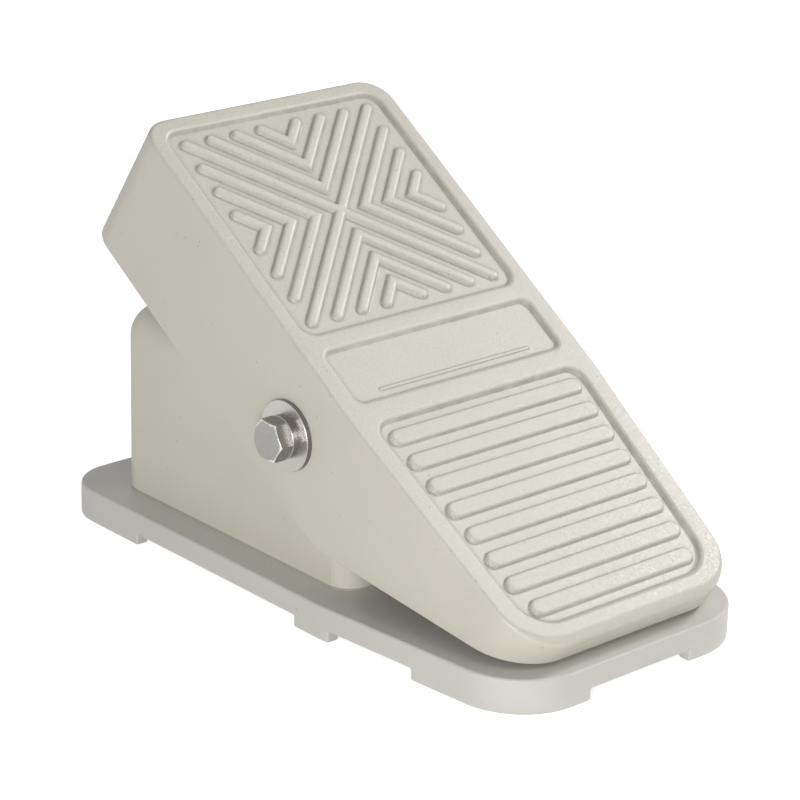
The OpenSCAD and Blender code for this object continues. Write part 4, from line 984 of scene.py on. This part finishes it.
# %% Sizes of the bars, in millimetres
BAR_WIDTH = 6.4
BAR_HEIGHT = 1.4
BAR_SHOULDER = 1.0
BAR_FOOT = 0.5
BAR_CREASE = 0.6
BAR_PITCH = 10.2
BAR_CORNER_CUT = 0.35
bar_room = bar_end - bar_start
bar_count = int((bar_room - BAR_WIDTH - 2 * END_GAP) / BAR_PITCH) + 1
bar_values = {
    "Half Width": cross_half * MM,
    "Half Length": bar_room / 2 * MM,
    "Corner Radius": PANEL_R * MM,
    "Heel Radius": PANEL_HEEL_R * MM,
    "Columns": int(2 * cross_half / GRID_MM),
    "Rows": int(bar_room / GRID_MM),
    "Middle": (bar_start + bar_end) / 2 * MM,
    "First": (bar_start + (bar_room - (bar_count - 1) * BAR_PITCH) / 2) * MM,
    "Pitch": BAR_PITCH * MM,
    "Bars": bar_count,
    "Taper Start": TAPER_START * MM,
    "Taper": (WIDTH - HEEL_WIDTH) / 2 / (LENGTH - TAPER_START),
    "Corner Start": (bar_end - PANEL_HEEL_R) * MM,
    "Corner Cut": BAR_CORNER_CUT,
    "End Gap": (END_GAP + BAR_WIDTH / 2) * MM,
    "Rib Width": BAR_WIDTH * MM,
    "Rib Height": BAR_HEIGHT * MM,
    "Shoulder": BAR_SHOULDER * MM,
    "Foot": BAR_FOOT,
    "Crease": BAR_CREASE * MM,
    "Wear And Highlight": 0.0,
    "Sink": SINK * MM,
    "Finish": satin_paint,
}
print("bars:", bar_count)


# %% Tree for the bars
def bar_tree(values):
    """The tree that raises straight bars."""
    tree, given, grid, flat, across, along = open_tree("tread bars", values)
    from_toe = calc(tree, "SUBTRACT", given["Middle"], flat.outputs["Y"])
    # Which bar is nearest, and how far off its middle line the point lies
    from_first = calc(tree, "SUBTRACT", from_toe, given["First"])
    steps = calc(tree, "DIVIDE", from_first, given["Pitch"])
    nearest = calc(tree, "ROUND", steps)
    last = calc(tree, "SUBTRACT", given["Bars"], 1)
    number = add(tree, "ShaderNodeClamp", [nearest, 0, last])
    line = calc(tree, "MULTIPLY_ADD", number, given["Pitch"], given["First"])
    off_line = calc(tree, "SUBTRACT", from_toe, line)
    # How long that bar is
    tapered = calc(tree, "SUBTRACT", line, given["Taper Start"])
    taper = calc(tree, "MAXIMUM", tapered, 0)
    narrowed = calc(tree, "MULTIPLY", taper, given["Taper"])
    cornered = calc(tree, "SUBTRACT", line, given["Corner Start"])
    corner = calc(tree, "MAXIMUM", cornered, 0)
    cut = calc(tree, "MULTIPLY_ADD", corner, given["Corner Cut"], given["End Gap"])
    shorter = calc(tree, "ADD", narrowed, cut)
    reach = calc(tree, "SUBTRACT", given["Half Width"], shorter)
    beyond = calc(tree, "SUBTRACT", across, reach)
    past_end = calc(tree, "MAXIMUM", beyond, 0)
    offset = add(tree, "ShaderNodeCombineXYZ", [off_line, past_end, 0])
    distance = add(tree, "ShaderNodeVectorMath", [offset], operation="LENGTH")
    # The rim narrows with the treadle and is rounder at the heel
    past_taper = calc(tree, "SUBTRACT", from_toe, given["Taper Start"])
    tapering = calc(tree, "MAXIMUM", past_taper, 0)
    inset_by = calc(tree, "MULTIPLY", tapering, given["Taper"])
    half_here = calc(tree, "SUBTRACT", given["Half Width"], inset_by)
    heel_side = calc(tree, "GREATER_THAN", from_toe, given["Middle"])
    more = calc(tree, "SUBTRACT", given["Heel Radius"], given["Corner Radius"])
    radius = calc(tree, "MULTIPLY_ADD", heel_side, more, given["Corner Radius"])
    rim_distance = rim_field(tree, across, along, half_here, given["Half Length"], radius)
    raise_and_close(tree, given, grid, flat, distance.outputs["Value"], rim_distance)
    return tree


tread_bars = bar_tree(bar_values)
print("tread bars:", len(tread_bars.nodes), "nodes")
grow("tread_bars", tread_bars, bar_values, (bar_start + bar_end) / 2)

# %% [markdown]
# ## Plain panel
# The middle panel is bare, apart from one thin raised line along its heel side. That is the same tree
# as for the bars, with a single bar that is narrow and low, and with no taper.

# %% Floor of the plain panel
LINE_WIDTH = 1.4
LINE_HEIGHT = 0.4
LINE_LENGTH = 66
LINE_FROM_RIM = 4
FINE_GRID_MM = 0.2
plain_values = bar_values | {
    "Half Length": PLAIN_LENGTH / 2 * MM,
    "Corner Radius": PLAIN_R * MM,
    "Heel Radius": PLAIN_R * MM,
    "Rows": int(PLAIN_LENGTH / FINE_GRID_MM),
    "Middle": (plain_start + PLAIN_LENGTH / 2) * MM,
    "First": (plain_start + PLAIN_LENGTH - LINE_FROM_RIM) * MM,
    "Bars": 1,
    "Taper Start": LENGTH * MM,
    "End Gap": (cross_half - LINE_LENGTH / 2 + LINE_WIDTH / 2) * MM,
    "Rib Width": LINE_WIDTH * MM,
    "Rib Height": LINE_HEIGHT * MM,
    "Shoulder": LINE_HEIGHT * MM,
}
grow("plain_panel_floor", tread_bars, plain_values, plain_start + PLAIN_LENGTH / 2)

# %% [markdown]
# ## Bolts and washers
# The hexagon bolts, split washers and large flat washers are bought parts. Their edges are broken by
# a fraction of a millimetre, and that thin bevel is what catches the light, so copies of the CAD
# nodes get one.

# %% Fasteners with broken edges
# Width of the bevel in millimetres, and the finish
FASTENERS = {
    "pivot_bolt_left": (0.5, forged_stainless),
    "pivot_bolt_right": (0.5, forged_stainless),
    "split_washers": (0.2, stainless),
    "flat_washers": (0.25, stainless),
}
for name, (width, finish) in FASTENERS.items():
    piece("dressed_" + name, softened(name, width), finish, "treadle", "stainless_steel", name)

# %% [markdown]
# ## Floor and light
# The pedal stands on white paper in a light tent. A lamp to the right rakes over the tread, so that
# every rib has a bright side and a dark side, and leaves the top of the base plate beside the housing
# in shadow. A second lamp is nearer and low, so it fills the left side, the heel and the front of the
# base plate and hardly reaches that top. The tent itself is a little brighter in front than behind and
# darkest overhead. Paper and tent are white for the camera and for reflections only, so the white
# isn't made by more light on the pedal.

# %% White paper
WHITE = linear("#ffffff")
FLOOR_SIDE = 6.0
# Strength of the glow near the pedal and far off, where less light of the lamps falls
PAPER_GLOW = (0.74, 0.86)
GLOW_RISE = (0.5, 1.4)


def seen(tree):
    """1 for rays that show a surface: straight to the camera, in a reflection or through glass."""
    rays = add(tree, "ShaderNodeLightPath").outputs
    plain = calc(tree, "MAXIMUM", rays["Is Camera Ray"], rays["Is Glossy Ray"])
    return calc(tree, "MAXIMUM", plain, rays["Is Transmission Ray"])


floor_shape = bmesh.new()
bmesh.ops.create_grid(floor_shape, x_segments=1, y_segments=1, size=FLOOR_SIDE / 2)
floor_mesh = bpy.data.meshes.new("floor")
floor_shape.to_mesh(floor_mesh)
floor_shape.free()
floor = bpy.data.objects.new("floor", floor_mesh)
bpy.context.scene.collection.objects.link(floor)
paper, tree, spot = new_material("white paper")
sheet = add(tree, "ShaderNodeBsdfDiffuse", {"Color": linear("#f0f0ee")})
far = add(tree, "ShaderNodeVectorMath", [spot], operation="LENGTH").outputs["Value"]
strength = span(tree, far, *GLOW_RISE, *PAPER_GLOW)
glow = add(tree, "ShaderNodeEmission", {"Color": WHITE, "Strength": strength})
lit = add(tree, "ShaderNodeAddShader", [sheet, glow])
shown = add(tree, "ShaderNodeMixShader", [seen(tree), sheet, lit])
add(tree, "ShaderNodeOutputMaterial", {"Surface": shown})
floor_mesh.materials.append(paper)
print("floor", FLOOR_SIDE, "m")

# %% Light tent
TENT_LIGHT = 0.56
# How the tent's light changes to the right, to the back and upwards
TENT_SLOPE = (0.0, -0.07, -0.47)
world = bpy.data.worlds.new("light tent")
bpy.context.scene.world = world
world.use_nodes = True
tree = world.node_tree
tree.nodes.clear()
way = add(tree, "ShaderNodeTexCoord").outputs["Generated"]
slope = add(tree, "ShaderNodeVectorMath", [way, TENT_SLOPE], operation="DOT_PRODUCT")
level = calc(tree, "ADD", slope.outputs["Value"], TENT_LIGHT)
tent = add(tree, "ShaderNodeBackground", {"Color": WHITE, "Strength": level})
white = add(tree, "ShaderNodeBackground", {"Color": WHITE, "Strength": 1.0})
shown = add(tree, "ShaderNodeMixShader", [seen(tree), tent, white])
add(tree, "ShaderNodeOutputWorld", {"Surface": shown})
print("tent light", TENT_LIGHT)

# %% Lamps
LAMP_AIM = Vector((0, 0, 0.06))


def lamp(name, place, side, watts):
    """A square lamp at a place, turned to the pedal."""
    light = bpy.data.lights.new(name, "AREA")
    light.size = side
    light.energy = watts
    made = bpy.data.objects.new(name, light)
    made.location = place
    made.rotation_euler = (LAMP_AIM - Vector(place)).to_track_quat("-Z", "Y").to_euler()
    bpy.context.scene.collection.objects.link(made)


# Place and side in metres, and the power in watts
LAMPS = {
    "raking lamp": ((1.15, -0.22, 1.0), 0.35, 11.9),
    "near fill": ((-0.63, -0.53, 0.2), 0.25, 3.3),
}
for name, (place, side, watts) in LAMPS.items():
    lamp(name, place, side, watts)
print("lamps:", ", ".join(LAMPS))

# %% [markdown]
# ## Camera
# The photograph's camera was found by fitting the pedal's own edges: a long lens, about a metre off,
# looking down on the heel and the left side, and turned by a degree or so about its own axis.

# %% Camera
CAMERA_PLACE = Vector((-633.1, -701.7, 416.0)) * MM
LOOK_AT = Vector((-7.5, -5.4, 64.1)) * MM
ROLL = math.radians(1.46)
LENS_MM = 135.9
SENSOR_MM = 36
camera = bpy.data.objects.new("camera", bpy.data.cameras.new("camera"))
camera.data.lens = LENS_MM
camera.data.sensor_width = SENSOR_MM
camera.location = CAMERA_PLACE
facing = (LOOK_AT - CAMERA_PLACE).to_track_quat("-Z", "Y").to_matrix().to_4x4()
camera.rotation_euler = (facing @ Matrix.Rotation(ROLL, 4, "Z")).to_euler()
bpy.context.scene.collection.objects.link(camera)
bpy.context.scene.camera = camera
bpy.context.scene.view_settings.view_transform = "Standard"
print("camera", (LOOK_AT - CAMERA_PLACE).length, "m away")
